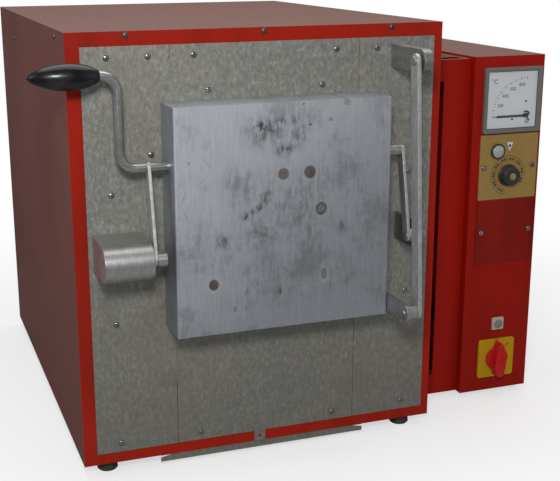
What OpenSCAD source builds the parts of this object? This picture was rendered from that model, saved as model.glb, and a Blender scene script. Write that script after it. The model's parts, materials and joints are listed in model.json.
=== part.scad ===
// Jewellery kiln: a box case with a lined chamber, a door carried by a lever and a guide arm,
// and a control box on its right side. Millimetres, +Z up, the front faces -Y.

/* [Case] */
// Width of the case over its side sheets
case_w = 510; // [490:5:600]
// Height of the case from its underside to its top
case_h = 570; // [560:5:700]
// Depth of the case from its front sheets to its rear cover
case_d = 650; // [600:10:800]
// Thickness of the painted case sheets
sheet_t = 1.5; // [1:0.1:2]
// Width of the inward folds along the edges of the side sheets
fold_w = 18; // [12:1:20]
// Painted border seen left of the front sheets
border_left = 17.7; // [12:0.1:24]
// Painted border seen right of the front sheets
border_right = 12; // [8:0.5:20]
// Painted border seen above the front sheets
border_top = 17.8; // [14:0.1:24]
// Painted border seen below the front sheets
border_bottom = 15.4; // [14:0.1:24]
// Width of the front frame, under the edges of the front sheets as well
frame_w = 36; // [30:1:45]
// Thickness of the front sheets
panel_t = 1.2; // [0.8:0.1:2]
// Distance of the left seam from the middle of the case
seam_left = 125.6; // [118:0.2:130]
// Distance of the right seam from the middle of the case
seam_right = 132.4; // [128:0.2:136]
// Gap between two front sheets
seam_gap = 0.6; // [0.3:0.1:1]
// Radius of the rubber feet
foot_r = 14; // [10:1:18]
// Height of the rubber feet
foot_h = 16.5; // [14:0.5:25]
// Distance of the feet from the middle of the case
foot_x = 220; // [150:1:225]
// Distance of the feet from the front and rear of the case
foot_inset = 24; // [20:1:60]

/* [Chamber] */
// Width of the chamber
chamber_w = 200; // [180:2:210]
// Height of the chamber
chamber_h = 160; // [140:2:165]
// Depth of the chamber from its collar to its back slab
chamber_d = 300; // [200:5:320]
// Thickness of the slabs that line the chamber
slab_t = 35; // [30:1:40]
// Depth of the collar round the chamber's mouth
collar_d = 30; // [24:1:40]
// Width of the collar's face that shows inside the front sheet
collar_face = 15; // [10:1:20]
// Air gap between the backing boards above the roof slab and the top cover
roof_gap = 29.1; // [20:0.1:60]
// Thickness of the backing boards below the floor slab
floor_board_t = 110; // [80:2:120]
// Thickness of the backing boards behind the back slab
rear_board_t = 130; // [80:5:140]
// Air gap between the backing boards and the side sheets
air_gap = 20; // [16:1:30]
// Thickness of the hearth plate
hearth_t = 12; // [8:1:16]
// Gap between the hearth plate and the chamber's walls
hearth_gap = 6; // [3:1:10]
// Gap in front of the hearth plate and behind it
hearth_slack = 4; // [2:1:10]
// Radius of the heating elements' cores
element_r = 5; // [3:0.5:6]
// Spacing of the heating elements up each wall
element_pitch = 34; // [30:1:36]
// Heating elements in each side wall
element_count = 4; // [2:1:4]
// Radius of the thermocouple's sheath
probe_r = 4; // [3:0.5:5]
// Length of the thermocouple's sheath inside the chamber
probe_reach = 40; // [20:5:60]

/* [Door] */
// Width of the door
door_w = 292.8; // [286:0.4:300]
// Height of the door
door_h = 294.4; // [286:0.4:310]
// Thickness of the door
door_t = 58.2; // [55:0.2:62]
// Distance of the door's middle right of the case's middle
door_x = 7.7; // [0:0.1:12]
// Distance of the door's middle below the top of the case
door_drop = 235.6; // [225:0.2:245]
// Gap between the shut door and the front sheets
door_gap = 0.3; // [0.3:0.1:1]
// Radius of the door's folded front edges
door_edge_r = 3; // [1.5:0.5:4]
// Thickness of the door's sheet
door_sheet_t = 1.2; // [1:0.1:2]
// How far the door's plug reaches into the chamber's mouth
plug_d = 20; // [10:1:22]
// Gap round the plug at its root
plug_gap = 6; // [5:0.5:10]
// How much the plug narrows on each side towards its end
plug_taper = 9; // [8:0.5:14]

/* [Linkage] */
// Distance of the lever's pivot in front of the front sheets
lever_y = 58; // [54:0.5:60]
// Distance of the lever's pivot below the door's middle
lever_drop = 39.9; // [35:0.1:45]
// Distance of the door's pivot rod in front of the front sheets
rod_y = 33.5; // [30:0.5:36]
// Height of the door's pivot rod above the door's middle
rod_rise = 72.1; // [68:0.1:76]
// Distance of the guide arm's top pivot in front of the front sheets
guide_y = 81.5; // [78:0.5:84]
// Height of the guide arm's top pivot above the door's middle
guide_rise = 193.6; // [190:0.1:198]
// Distance of the door lug's pivot in front of the front sheets
lug_y = 107.5; // [104:0.5:110]
// Distance of the door lug's pivot below the door's middle
lug_drop = 130.4; // [126:0.1:133]
// Radius of the bent rod
rod_r = 6; // [5:0.25:6.5]
// Radial clearance of a pin or rod in its bore
run_gap = 0.05; // [0.02:0.01:0.08]
// Gap between moving faces
side_gap = 0.3; // [0.3:0.1:0.5]
// Width of the lever's flat arms
arm_w = 15; // [13:0.5:18]
// Thickness of the lever's flat arms
arm_t = 4; // [3:0.5:4.5]
// Gap between the lever's left arm and the door
arm_door_gap = 24.3; // [23:0.1:26]
// Gap between the guide arm and the lever's right arm
arm_gap = 2.5; // [2:0.1:4]
// Radius of the lever's pivot pins
pin_r = 5; // [4:0.25:6]
// Radius of the bosses on the pivot pins
boss_r = 9; // [8:0.5:10]
// Gap between the left arm and its bearing block, filled by a washer
washer_t = 5; // [2:0.5:6]
// Length of the left bearing block
bearing_l = 60; // [50:1:66]
// Radius of the left bearing block's round nose
bearing_r = 21; // [18:0.5:24]
// Thickness of the lever's right bracket
bracket_t = 14; // [5:0.5:17]
// Radius of the round nose of the lever's right bracket
bracket_r = 15; // [12:0.5:20]
// Thickness of the guide arm's bracket block
guide_block_t = 17; // [8:0.5:17]
// Radius of the round nose of the guide arm's bracket block
guide_block_r = 15; // [12:0.5:17]
// Length of the boss between the right arm and its bracket block
right_boss_l = 8.2; // [7:0.1:9]
// Height of the grip above the door's pivot rod
grip_rise = 114.5; // [104:0.5:118]
// Distance of the bent rod's upright from the lever's left arm
upright_reach = 33; // [31:1:39]
// Radius of the rod's bends, at its axis
bend_r = 20; // [16:1:22]
// Gap between the rod's bend and the grip's blunt end
grip_gap = 1; // [0:0.5:9]
// Length of the grip
grip_l = 86; // [80:1:95]
// Largest radius of the grip
grip_r = 16.3; // [15:0.1:17]
// Thickness of the guide arm
guide_t = 5; // [4:0.25:5.5]
// Width of the guide arm
guide_w = 15; // [15:0.5:22]
// Radius of the guide arm's pins
guide_pin_r = 4; // [3:0.25:5]
// Distance between the door lug and the guide arm
lug_boss_l = 11.9; // [9:0.1:14]
// Thickness of the head of the lug's pin
pin_head_t = 1.8; // [1.2:0.1:2.2]
// Thickness of the head of the guide arm's top pin
guide_head_t = 2.5; // [1.5:0.1:3]
// Thickness of the door lug
lug_t = 5; // [4:0.5:6]
// Radius of the door lug's round end
lug_r = 11; // [9:0.5:12]
// Gap that leaves the guide arm's top pin open at its block
open_gap = 0.4; // [0.3:0.1:0.6]

/* [Control box] */
// Width of the control box
box_w = 116; // [112:1:130]
// Height of the control box
box_h = 520; // [505:1:530]
// Depth of the control box
box_d = 420; // [380:5:480]
// How far the control box drops below the underside of the case
box_drop = 6; // [0:0.5:10]
// How far the control box is set back from the front sheets
box_y = 62; // [50:1:80]
// Width of the neck between the case and the control box
neck_w = 90; // [80:1:100]
// How far the neck is set back behind the front of the control box
neck_back = 14; // [8:1:20]
// How much lower than the control box the neck's top is
neck_low = 3.5; // [2:0.5:10]
// Width of the neck's tall vent slot
slot_w = 40; // [20:1:45]
// Height of the neck's tall vent slot
slot_h = 454; // [400:2:460]
// Distance of the vent slot's lower end above the bottom of the neck
slot_rise = 31.4; // [20:0.2:40]
// Depth of the neck
neck_d = 380; // [300:5:400]
// Slots in the vent grille on top of the neck
grille_count = 14; // [8:1:16]
// Size of the square plates on the control box
plate_size = 98; // [97:0.5:100]
// Thickness of the square plates
plate_t = 1.5; // [1:0.1:2]
// Distance of the plates' right edge from the control box's right side
plate_margin = 4; // [2:0.5:6]
// Height of the meter's middle above the underside of the case
meter_z = 449.6; // [449:0.1:452]
// Outer size of the meter's square bezel
meter_size = 96; // [94:0.5:97]
// How far the meter's bezel stands proud of the control box
meter_proud = 6; // [5:0.5:8]
// Width of the meter's bezel
bezel_w = 4.5; // [3:0.5:6]
// Depth of the meter's housing behind the front plate
meter_d = 90; // [60:5:110]
// Distance of the pointer's pivot from the meter's middle, right and down
pointer_off = 24; // [20:1:26]
// Length of the pointer from its pivot
pointer_l = 58; // [40:1:60]
// Height of the regulator plate's middle above the underside of the case
regulator_z = 350; // [349:0.1:351]
// Distance of the regulator's axis below the middle of its plate
knob_low = 13; // [8:1:16]
// Radius of the regulator's knob
knob_r = 18; // [14:0.5:20]
// Height of the regulator's knob
knob_h = 16; // [11:0.5:20]
// Distance of the round lamp left of the middle of the regulator's plate
lamp_left = 19.5; // [15:0.5:24]
// Distance of the round lamp above the middle of the regulator's plate
lamp_up = 24; // [18:0.5:28]
// Radius of the regulator's round lamp
lamp_r = 11.5; // [8:0.5:12]
// Height of the blank plate's middle above the underside of the case
blank_z = 251; // [249:0.1:251]
// Height of the square lamp above the underside of the case
square_lamp_z = 103.5; // [98:0.5:130]
// Size of the square lamp
square_lamp_size = 19.5; // [16:0.5:24]
// Size of the main switch's square plate
switch_size = 62; // [58:0.5:66]
// Height of the main switch above the underside of the case
switch_z = 47.2; // [42:0.1:50]
// Length of the main switch's handle
switch_handle_l = 57; // [45:0.5:58]
// Width of the main switch's handle
switch_handle_w = 37; // [28:0.5:38]
// Height of the main switch's handle
switch_handle_h = 15; // [12:0.5:20]
// Radius of the cable gland's bore
gland_r = 5; // [4:0.25:6]
// Height of the cable gland above the underside of the case
gland_z = 60; // [40:5:100]
// Half width and half height of the wiring hole between the case and the control box
wire_hole = 20; // [10:1:40]

/* [Fasteners] */
// Radius of the pan head screws
screw_head_r = 4; // [3:0.25:5]
// Height of the pan head screws
screw_head_h = 2.4; // [2:0.1:3]
// Radius of the screw shanks
shank_r = 2; // [1.5:0.1:2.4]

/* [Hidden] */
$fn = 64;

case_red = [0.72, 0.12, 0.06];
box_red = [0.5, 0.08, 0.05];
zinc_grey = [0.56, 0.57, 0.53];
steel_grey = [0.66, 0.68, 0.7];
fibre_white = [0.9, 0.88, 0.82];
black_plastic = [0.06, 0.06, 0.07];

eps = 0.01;
fit_gap = 0.05;

half_w = case_w / 2;
door_z = case_h - door_drop;
frame_y = panel_t + sheet_t;
lining_y = frame_y + fit_gap;
rear_y = case_d - sheet_t;

door_l = door_x - door_w / 2;
door_r = door_x + door_w / 2;
door_top = door_z + door_h / 2;
door_low = door_z - door_h / 2;
door_front = -door_gap - door_t;

mouth_d = collar_d;
chamber_y = lining_y + mouth_d;
chamber_back = chamber_y + chamber_d;
slab_back = chamber_back + slab_t;
board_back = slab_back + rear_board_t;
chamber_l = door_x - chamber_w / 2;
chamber_r = door_x + chamber_w / 2;
chamber_low = door_z - chamber_h / 2;
chamber_top = door_z + chamber_h / 2;
floor_low = chamber_low - slab_t;
board_low = floor_low - floor_board_t;
roof_top = chamber_top + slab_t;
board_half = half_w - sheet_t - air_gap;

lever_z = door_z - lever_drop;
rod_z = door_z + rod_rise;
guide_z = door_z + guide_rise;
lug_z = door_z - lug_drop;
grip_z = rod_z + grip_rise;
arm_left_r = door_l - arm_door_gap;
arm_left_x = arm_left_r - arm_t;
bearing_r_x = arm_left_x - washer_t;
bearing_l_x = bearing_r_x - bearing_l;
guide_x = door_r + lug_t + lug_boss_l;
guide_r_x = guide_x + guide_t;
guide_block_x = guide_r_x + 3;
arm_right = guide_r_x + arm_gap;
arm_right_r = arm_right + arm_t;
bracket_x = arm_right_r + right_boss_l + side_gap;
upright_x = arm_left_x - upright_reach;
grip_x = upright_x - bend_r - grip_gap;
grip_hold = 0.6 * grip_l;
tube_proud = 2.5;
tube_outer = rod_r + 2;
pin_step = 2;

box_x = half_w + neck_w;
box_r = box_x + box_w;
box_low = -box_drop;
box_top = box_low + box_h;
plate_x = box_r - plate_margin - plate_size / 2;
meter_x = plate_x;
pivot_x = meter_x + pointer_off;
pivot_z = meter_z - pointer_off;
knob_z = regulator_z - knob_low;
knob_x = plate_x;
lamp_x = plate_x - lamp_left;
lamp_z = regulator_z + lamp_up;
switch_x = plate_x - plate_margin;
lamp_hole_r = 6;
lamp_stem_r = 5.5;
lamp_d = 30;
post_r = 1.5;
spindle_r = 3;
knob_spindle = 12;
switch_spindle = 14;
switch_plate_t = 4;
switch_hub_r = 13;
gland_x = box_x + box_w / 2;
gland_tube_r = gland_r + 3;
body_d = 50;
regulator_size = 60;
switch_body_size = 48;
switch_body_d = 55;
neck_y = box_y + neck_back;
neck_top = box_top - neck_low;
meter_cavity_d = 9;
meter_body = meter_size - 2 * bezel_w;
dial_t = 1;
post_y = box_y + 1;
pointer_y = box_y + 3;
glass_t = 2;
glass_y = box_y - meter_proud + 1.5;
housing_wall = 2;

total_l = grip_x - grip_l;
total_front = -lug_y - lug_r;
total_back = case_d + screw_head_h;
mid_x = (total_l + box_r) / 2;
mid_y = (total_front + total_back) / 2;

panel_screw_places = [
    [-205.4, case_h - 31.6], [-153.1, case_h - 31.6], [-94.3, case_h - 31.4],
    [100, case_h - 30.8], [158.5, case_h - 31.4], [-75.9, door_top + 12.7],
    [80.3, door_top + 12.5], [-205.4, door_z + 32.7], [-204.8, door_z - 139.3], [-204.4, 27.8],
    [-93.3, 26.8], [100.6, 27.2], [209.9, 28.2], [210.4, door_z + 34.5],
    [210.6, door_z - 137.8], [door_l - 14, rod_z + 9.3]];
frame_screw_places = [[-180, 5], [0, 5], [180, 5]];
side_screw_places = [[73, 9], [471, 40]];
rear_screw_inset = 9;
rear_screw_end = 40;
probe_z = chamber_top - 30;
tab_w = 16;
tab_h = 16;
tab_x = -8;
tab_hole_r = 2.5;

// Moves the case's own frame, with x = 0 at its middle, y = 0 at its front sheets and z = 0 at
// its underside, to the part's frame: the middle of the whole footprint, on the floor
module in_place() {
    translate([-mid_x, -mid_y, foot_h]) children();
}

// A block between two opposite corners
module block(low, high) {
    translate(low) cube(high - low);
}

// A drawing in X and Z, made solid from y0 back to y1
module along_y(y0, y1) {
    translate([0, y1, 0]) rotate([90, 0, 0]) linear_extrude(y1 - y0) children();
}

// A drawing in Y and Z, made solid from x0 to x1
module along_x(x0, x1) {
    translate([x0, 0, 0]) rotate([90, 0, 90]) linear_extrude(x1 - x0) children();
}

// A drawing in X and Y, made solid from z0 up to z1
module along_z(z0, z1) {
    translate([0, 0, z0]) linear_extrude(z1 - z0) children();
}

module rod_x(r, x0, x1, y, z) {
    translate([x0, y, z]) rotate([0, 90, 0]) cylinder(r = r, h = x1 - x0);
}

module rod_y(r, y0, y1, x, z) {
    translate([x, y1, z]) rotate([90, 0, 0]) cylinder(r = r, h = y1 - y0);
}

module rect(x0, x1, z0, z1) {
    translate([x0, z0]) square([x1 - x0, z1 - z0]);
}

// A square with round corners, centred on x and z
module round_square(x, z, size, r) {
    for (sx = [-1, 1]) {
        translate([x + sx * (size / 2 - r), z - size / 2 + r]) circle(r);
        translate([x + sx * (size / 2 - r), z + size / 2 - r]) circle(r);
    }
    rect(x - size / 2 + r, x + size / 2 - r, z - size / 2, z + size / 2);
    rect(x - size / 2, x + size / 2, z - size / 2 + r, z + size / 2 - r);
}

// A pan head screw whose head stands on the plane y and faces -Y
module screw_front(x, y, z, shank) {
    dome = screw_head_h * 0.6;
    stem = shank > 0 ? [[0, -shank], [shank_r, -shank], [shank_r, 0]] : [[0, 0]];
    translate([x, y, z]) rotate([90, 0, 0]) rotate_extrude()
        polygon(concat(stem, [[screw_head_r, 0], [screw_head_r, screw_head_h - dome],
            [screw_head_r * 0.82, screw_head_h - dome * 0.35], [screw_head_r * 0.5, screw_head_h],
            [0, screw_head_h]]));
}

module panel_screw_holes() {
    for (p = panel_screw_places) rod_y(shank_r + fit_gap, -1, frame_y + 1, p[0], p[1]);
}

// Case

// One side sheet with its inward folds, drawn for the left and mirrored for the right
module side_sheet() {
    difference() {
        along_y(frame_y, rear_y) difference() {
            rect(-half_w, -half_w + fold_w, 0, case_h - sheet_t);
            rect(-half_w + sheet_t, -half_w + fold_w + 1, sheet_t, case_h - 2 * sheet_t);
        }
        children();
    }
}

// The hole for the wires that run through the neck, between two X values
module wiring_hole(x0, x1) {
    y = neck_y + 100;
    z = 100;
    block([x0, y - 2 * wire_hole, z - wire_hole], [x1, y + 2 * wire_hole, z + wire_hole]);
}

module left_side() {
    color(case_red) in_place() side_sheet() {
        for (p = side_screw_places)
            rod_x(shank_r + fit_gap, -half_w - 1, -half_w + sheet_t + 1, p[0], case_h - p[1]);
    }
}

module right_side() {
    color(case_red) in_place() difference() {
        mirror([1, 0, 0]) side_sheet();
        wiring_hole(half_w - sheet_t - 1, half_w + 1);
    }
}

module top_cover() {
    color(case_red) in_place()
        block([-half_w, frame_y, case_h - sheet_t], [half_w, rear_y, case_h]);
}

module base_plate() {
    in_w = half_w - fold_w - fit_gap;
    color(zinc_grey) in_place() block([-in_w, frame_y, 0], [in_w, rear_y, sheet_t]);
}

module rear_cover() {
    louvre_w = 60;
    louvre_h = 5;
    louvre_pitch = 14;
    columns = [-150, -50, 50, 150];
    color(case_red) in_place() difference() {
        along_y(rear_y, case_d) rect(-half_w, half_w, 0, case_h);
        for (x = columns, k = [0:5], z = [110, case_h - 150])
            block([x - louvre_w / 2, rear_y - 1, z + k * louvre_pitch],
                [x + louvre_w / 2, case_d + 1, z + k * louvre_pitch + louvre_h]);
    }
}

module front_frame() {
    color(case_red) in_place() difference() {
        along_y(panel_t, frame_y) difference() {
            rect(-half_w, half_w, 0, case_h);
            rect(-half_w + frame_w, half_w - frame_w, frame_w, case_h - frame_w);
        }
        panel_screw_holes();
        for (p = frame_screw_places)
            rod_y(shank_r + fit_gap, 0, frame_y + 1, p[0], case_h - p[1]);
    }
}

// A front sheet between two X values, with the screw holes that fall on it
module front_sheet(x0, x1) {
    difference() {
        along_y(0, panel_t) rect(x0, x1, border_bottom, case_h - border_top);
        panel_screw_holes();
    }
}

module front_panel_left() {
    color(zinc_grey) in_place()
        front_sheet(-half_w + border_left, -seam_left - seam_gap / 2);
}

module front_panel_right() {
    color(zinc_grey) in_place()
        front_sheet(seam_right + seam_gap / 2, half_w - border_right);
}

module front_panel_centre() {
    face = collar_face + fit_gap;
    color(zinc_grey) in_place() difference() {
        front_sheet(-seam_left + seam_gap / 2, seam_right - seam_gap / 2);
        along_y(-1, panel_t + 1) rect(chamber_l - face, chamber_r + face, chamber_low - face,
            chamber_top + face);
    }
}

module front_tab() {
    color(steel_grey) in_place() difference() {
        along_y(panel_t - sheet_t, panel_t)
            rect(tab_x - tab_w / 2, tab_x + tab_w / 2, border_bottom - tab_h, border_bottom - fit_gap);
        rod_y(tab_hole_r, panel_t - sheet_t - 1, panel_t + 1, tab_x, border_bottom - tab_h / 2);
    }
}

module panel_screws() {
    color(steel_grey) in_place() {
        for (p = panel_screw_places) screw_front(p[0], 0, p[1], frame_y - eps);
        for (z = [regulator_z, blank_z]) plate_screws(z);
    }
}

module frame_screws() {
    color(box_red) in_place() {
        for (p = frame_screw_places) screw_front(p[0], panel_t, case_h - p[1], sheet_t);
        for (p = side_screw_places) translate([-half_w, p[0], case_h - p[1]])
            rotate([0, 0, -90]) screw_front(0, 0, 0, sheet_t);
        for (sx = [-1, 1], z = [rear_screw_end, case_h / 2, case_h - rear_screw_end])
            translate([sx * (half_w - rear_screw_inset), case_d, z])
                rotate([0, 0, 180]) screw_front(0, 0, 0, 0);
    }
}

module feet() {
    color(black_plastic) in_place()
        for (sx = [-1, 1], y = [foot_inset, case_d - foot_inset])
            translate([sx * foot_x, y, -foot_h]) rotate_extrude()
                polygon([[0, 0], [foot_r - 2, 0], [foot_r, 2], [foot_r - 1, foot_h], [0, foot_h]]);
}

module under_plate() {
    lip_x = 150;
    lip_h = 10.5;
    clip = 26;
    plate_d = 380;
    lip_y = frame_y;
    color(steel_grey) in_place() {
        block([-lip_x, lip_y, -sheet_t], [lip_x, lip_y + plate_d, 0]);
        along_y(lip_y, lip_y + sheet_t)
            polygon([[-lip_x, -lip_h], [lip_x, -lip_h], [lip_x, -sheet_t - 3],
                [lip_x - clip, 0], [-lip_x + clip, 0], [-lip_x, -sheet_t - 3]]);
    }
}

// Lining

// Two folded channels on the base plate carry the boards of the lining
module support_frame() {
    rail_w = 40;
    color(steel_grey) in_place() {
        for (x = [door_x - 140, door_x + 100]) {
            along_y(lining_y, board_back) difference() {
                rect(x, x + rail_w, sheet_t, board_low - sheet_t);
                rect(x + sheet_t, x + rail_w - sheet_t, 2 * sheet_t, board_low);
            }
        }
        block([-board_half, lining_y, board_low - sheet_t], [board_half, board_back, board_low]);
    }
}

module floor_boards() {
    color(fibre_white) in_place()
        block([-board_half, lining_y, board_low], [board_half, board_back, floor_low]);
}

module side_boards() {
    color(fibre_white) in_place() {
        block([-board_half, lining_y, floor_low], [chamber_l - slab_t, slab_back, roof_top]);
        block([chamber_r + slab_t, lining_y, floor_low], [board_half, slab_back, roof_top]);
    }
}

module roof_boards() {
    color(fibre_white) in_place()
        block([-board_half, lining_y, roof_top], [board_half, board_back, case_h - sheet_t - roof_gap]);
}

module rear_board() {
    color(fibre_white) in_place() difference() {
        block([-board_half, slab_back, floor_low], [board_half, board_back, roof_top]);
        rod_y(probe_r + fit_gap, slab_back - 1, board_back + 1, door_x, probe_z);
        element_leads(fit_gap);
    }
}

module muffle_floor() {
    color(fibre_white) in_place() block([chamber_l - slab_t, chamber_y, floor_low],
        [chamber_r + slab_t, slab_back, chamber_low]);
}

module muffle_roof() {
    color(fibre_white) in_place() block([chamber_l - slab_t, chamber_y, chamber_top],
        [chamber_r + slab_t, slab_back, roof_top]);
}

// Heating elements lie in half-round grooves in the side slabs
function element_z(k) = door_z + (k - (element_count - 1) / 2) * element_pitch;
element_inset = element_r * 0.4;
element_start = 10;
lead_r = 2;
lead_l = 12;
terminal_l = 10;

module element_cores(gap) {
    for (sx = [-1, 1], k = [0:element_count - 1])
        rod_y(element_r + gap, chamber_y + element_start - gap, chamber_back,
            door_x + sx * (chamber_w / 2 + element_inset), element_z(k));
}

module element_leads(gap) {
    for (sx = [-1, 1], k = [0:element_count - 1])
        rod_y(lead_r + gap, chamber_back - 1, board_back + lead_l,
            door_x + sx * (chamber_w / 2 + element_inset), element_z(k));
}

module muffle_sides() {
    color(fibre_white) in_place() difference() {
        for (x = [chamber_l - slab_t, chamber_r])
            block([x, chamber_y, chamber_low], [x + slab_t, chamber_back, chamber_top]);
        element_cores(fit_gap);
    }
}

module muffle_back() {
    color(fibre_white) in_place() difference() {
        block([chamber_l - slab_t, chamber_back, chamber_low],
            [chamber_r + slab_t, slab_back, chamber_top]);
        rod_y(probe_r + fit_gap, chamber_back - 1, slab_back + 1, door_x, probe_z);
        element_leads(fit_gap);
    }
}

module mouth_collar() {
    color(fibre_white) in_place() difference() {
        union() {
            block([chamber_l - collar_face, 0, chamber_low - collar_face],
                [chamber_r + collar_face, lining_y, chamber_top + collar_face]);
            block([chamber_l - slab_t, lining_y, floor_low],
                [chamber_r + slab_t, chamber_y, roof_top]);
        }
        block([chamber_l, -1, chamber_low], [chamber_r, chamber_y + 1, chamber_top]);
    }
}

module hearth_plate() {
    color([0.78, 0.7, 0.56]) in_place()
        block([chamber_l + hearth_gap, chamber_y + hearth_slack, chamber_low],
            [chamber_r - hearth_gap, chamber_back - hearth_slack, chamber_low + hearth_t]);
}

module heating_elements() {
    color([0.3, 0.27, 0.25]) in_place() {
        element_cores(0);
        element_leads(0);
    }
}

module element_terminals() {
    color(fibre_white) in_place() difference() {
        for (sx = [-1, 1], k = [0:element_count - 1])
            rod_y(4 * lead_r, board_back, board_back + terminal_l,
                door_x + sx * (chamber_w / 2 + element_inset), element_z(k));
        element_leads(fit_gap);
    }
}

module thermocouple() {
    head_r = 14;
    head_l = 24;
    color(steel_grey) in_place() {
        rod_y(probe_r, chamber_back - probe_reach, board_back, door_x, probe_z);
        rod_y(head_r, board_back, board_back + head_l, door_x, probe_z);
    }
}

// Linkage

// The outline of a block on the front sheets with a round nose about a pivot
module nosed_outline(y, z, r) {
    translate([-y, z]) circle(r);
    rect(-y, 0, z - r, z + r);
}

module lever_bearing() {
    color(steel_grey) in_place() difference() {
        along_x(bearing_l_x, bearing_r_x) nosed_outline(lever_y, lever_z, bearing_r);
        rod_x(pin_r + run_gap, bearing_l_x - 1, bearing_r_x + 1, -lever_y, lever_z);
    }
}

module lever_bracket() {
    color(steel_grey) in_place() difference() {
        along_x(bracket_x, bracket_x + bracket_t) nosed_outline(lever_y, lever_z, bracket_r);
        rod_x(pin_r + run_gap, bracket_x - 1, bracket_x + bracket_t + 1, -lever_y, lever_z);
    }
}

module guide_bracket() {
    color(steel_grey) in_place() difference() {
        along_x(guide_block_x, guide_block_x + guide_block_t)
            nosed_outline(guide_y, guide_z, guide_block_r);
        rod_x(guide_pin_r + run_gap, guide_block_x - 1, guide_block_x + guide_block_t + 1,
            -guide_y, guide_z);
    }
}

// A quarter bend of the rod: it comes in along +X at the origin and leaves along +Z when turned 0
module quarter_bend() {
    rotate_extrude(angle = 90) translate([bend_r, 0]) circle(rod_r);
}

module lever_rod() {
    upright_l = grip_z - rod_z - 2 * bend_r;
    color(steel_grey) in_place() {
        rod_x(rod_r, upright_x + bend_r, arm_right, -rod_y, rod_z);
        translate([upright_x + bend_r, -rod_y, rod_z + bend_r]) rotate([90, 0, 0])
            rotate([0, 0, 180]) quarter_bend();
        translate([upright_x, -rod_y, rod_z + bend_r]) cylinder(r = rod_r, h = upright_l);
        translate([upright_x - bend_r, -rod_y, grip_z - bend_r]) rotate([90, 0, 0])
            quarter_bend();
        rod_x(rod_r, grip_x - grip_hold, upright_x - bend_r, -rod_y, grip_z);
    }
}

// Half outline of the grip: blunt at the rod, fullest past the middle, drawn in to a round tip
function grip_radius(s) = grip_r * pow(sin(180 * pow(s, 0.86)), 0.55);

module lever_grip() {
    steps = 24;
    start = 0.035;
    color(black_plastic) in_place() difference() {
        translate([grip_x, -rod_y, grip_z]) rotate([0, -90, 0]) rotate_extrude()
            polygon(concat([[0, 0]],
                [for (k = [0:steps - 1]) let (s = start + (1 - start) * k / steps)
                    [grip_radius(s), grip_l * (s - start) / (1 - start)]],
                [[0, grip_l]]));
        rod_x(rod_r + fit_gap, grip_x - grip_hold - 0.5, grip_x + 1, -rod_y, grip_z);
    }
}

// A flat arm from the lever's pivot to the rod, with both holes
module lever_arm(x) {
    reach = norm([lever_y - rod_y, rod_z - lever_z]);
    lean = atan2(lever_y - rod_y, rod_z - lever_z);
    difference() {
        along_x(x, x + arm_t) translate([-lever_y, lever_z]) rotate(-lean) {
            translate([-arm_w / 2, 0]) square([arm_w, reach]);
            circle(arm_w / 2);
            translate([0, reach]) circle(arm_w / 2);
        }
        rod_x(pin_r + fit_gap, x - 1, x + arm_t + 1, -lever_y, lever_z);
        rod_x(rod_r + fit_gap, x - 1, x + arm_t + 1, -rod_y, rod_z);
    }
}

module lever_arm_left() {
    color(steel_grey) in_place() lever_arm(arm_left_x);
}

module lever_arm_right() {
    color(steel_grey) in_place() lever_arm(arm_right);
}

module lever_pins() {
    head_l = 12;
    color(steel_grey) in_place() {
        rod_x(pin_r, bearing_l_x + pin_step, arm_left_r, -lever_y, lever_z);
        rod_x(boss_r, arm_left_r, arm_left_r + head_l, -lever_y, lever_z);
        difference() {
            rod_x(boss_r, bearing_r_x + side_gap, arm_left_x - fit_gap, -lever_y, lever_z);
            rod_x(pin_r - eps, bearing_r_x, arm_left_x, -lever_y, lever_z);
        }
        rod_x(pin_r, arm_right - 1, bracket_x + bracket_t + 1, -lever_y, lever_z);
        rod_x(boss_r, arm_right_r, arm_right_r + right_boss_l, -lever_y, lever_z);
        rod_x(rod_r, arm_right, arm_right_r + 1, -rod_y, rod_z);
        difference() {
            rod_x(tube_outer, door_r + tube_proud + side_gap, arm_right - fit_gap, -rod_y, rod_z);
            rod_x(rod_r + fit_gap, door_r, arm_right, -rod_y, rod_z);
        }
    }
}

// Door

module door_outline(inset) {
    r = max(door_edge_r - inset, 0.5);
    x0 = door_l + inset;
    x1 = door_r - inset;
    y0 = door_front + inset;
    translate([x0 + r, y0 + r]) circle(r);
    translate([x1 - r, y0 + r]) circle(r);
    rect(x0 + r, x1 - r, y0, -door_gap);
    rect(x0, x1, y0 + r, -door_gap);
}

module door_shell() {
    color([0.63, 0.65, 0.68]) in_place() difference() {
        along_z(door_low, door_top) door_outline(0);
        difference() {
            along_z(door_low + door_sheet_t, door_top - door_sheet_t) door_outline(door_sheet_t);
            block([door_l, -door_gap, door_low], [door_r, 1, door_top]);
        }
        block([door_l + door_sheet_t, -door_gap - 5 * door_sheet_t, door_low + door_sheet_t],
            [door_r - door_sheet_t, 1, door_top - door_sheet_t]);
        rod_x(tube_outer + fit_gap, door_l - 1, door_r + 1, -rod_y, rod_z);
    }
}

module door_filling() {
    gap = door_sheet_t + fit_gap;
    root_w = chamber_w - 2 * plug_gap;
    root_h = chamber_h - 2 * plug_gap;
    tip = 1 - 2 * plug_taper / root_w;
    color(fibre_white) in_place() difference() {
        union() {
            along_z(door_low + gap, door_top - gap) door_outline(gap);
            translate([door_x, -door_gap - eps, door_z]) rotate([-90, 0, 0])
                linear_extrude(plug_d, scale = tip) square([root_w, root_h], center = true);
        }
        rod_x(tube_outer + fit_gap, door_l - 1, door_r + 1, -rod_y, rod_z);
    }
}

module door_pivot_tube() {
    color(steel_grey) in_place() difference() {
        rod_x(tube_outer, door_l - tube_proud, door_r + tube_proud, -rod_y, rod_z);
        rod_x(rod_r + run_gap, door_l - tube_proud - 1, door_r + tube_proud + 1, -rod_y, rod_z);
    }
}

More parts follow.
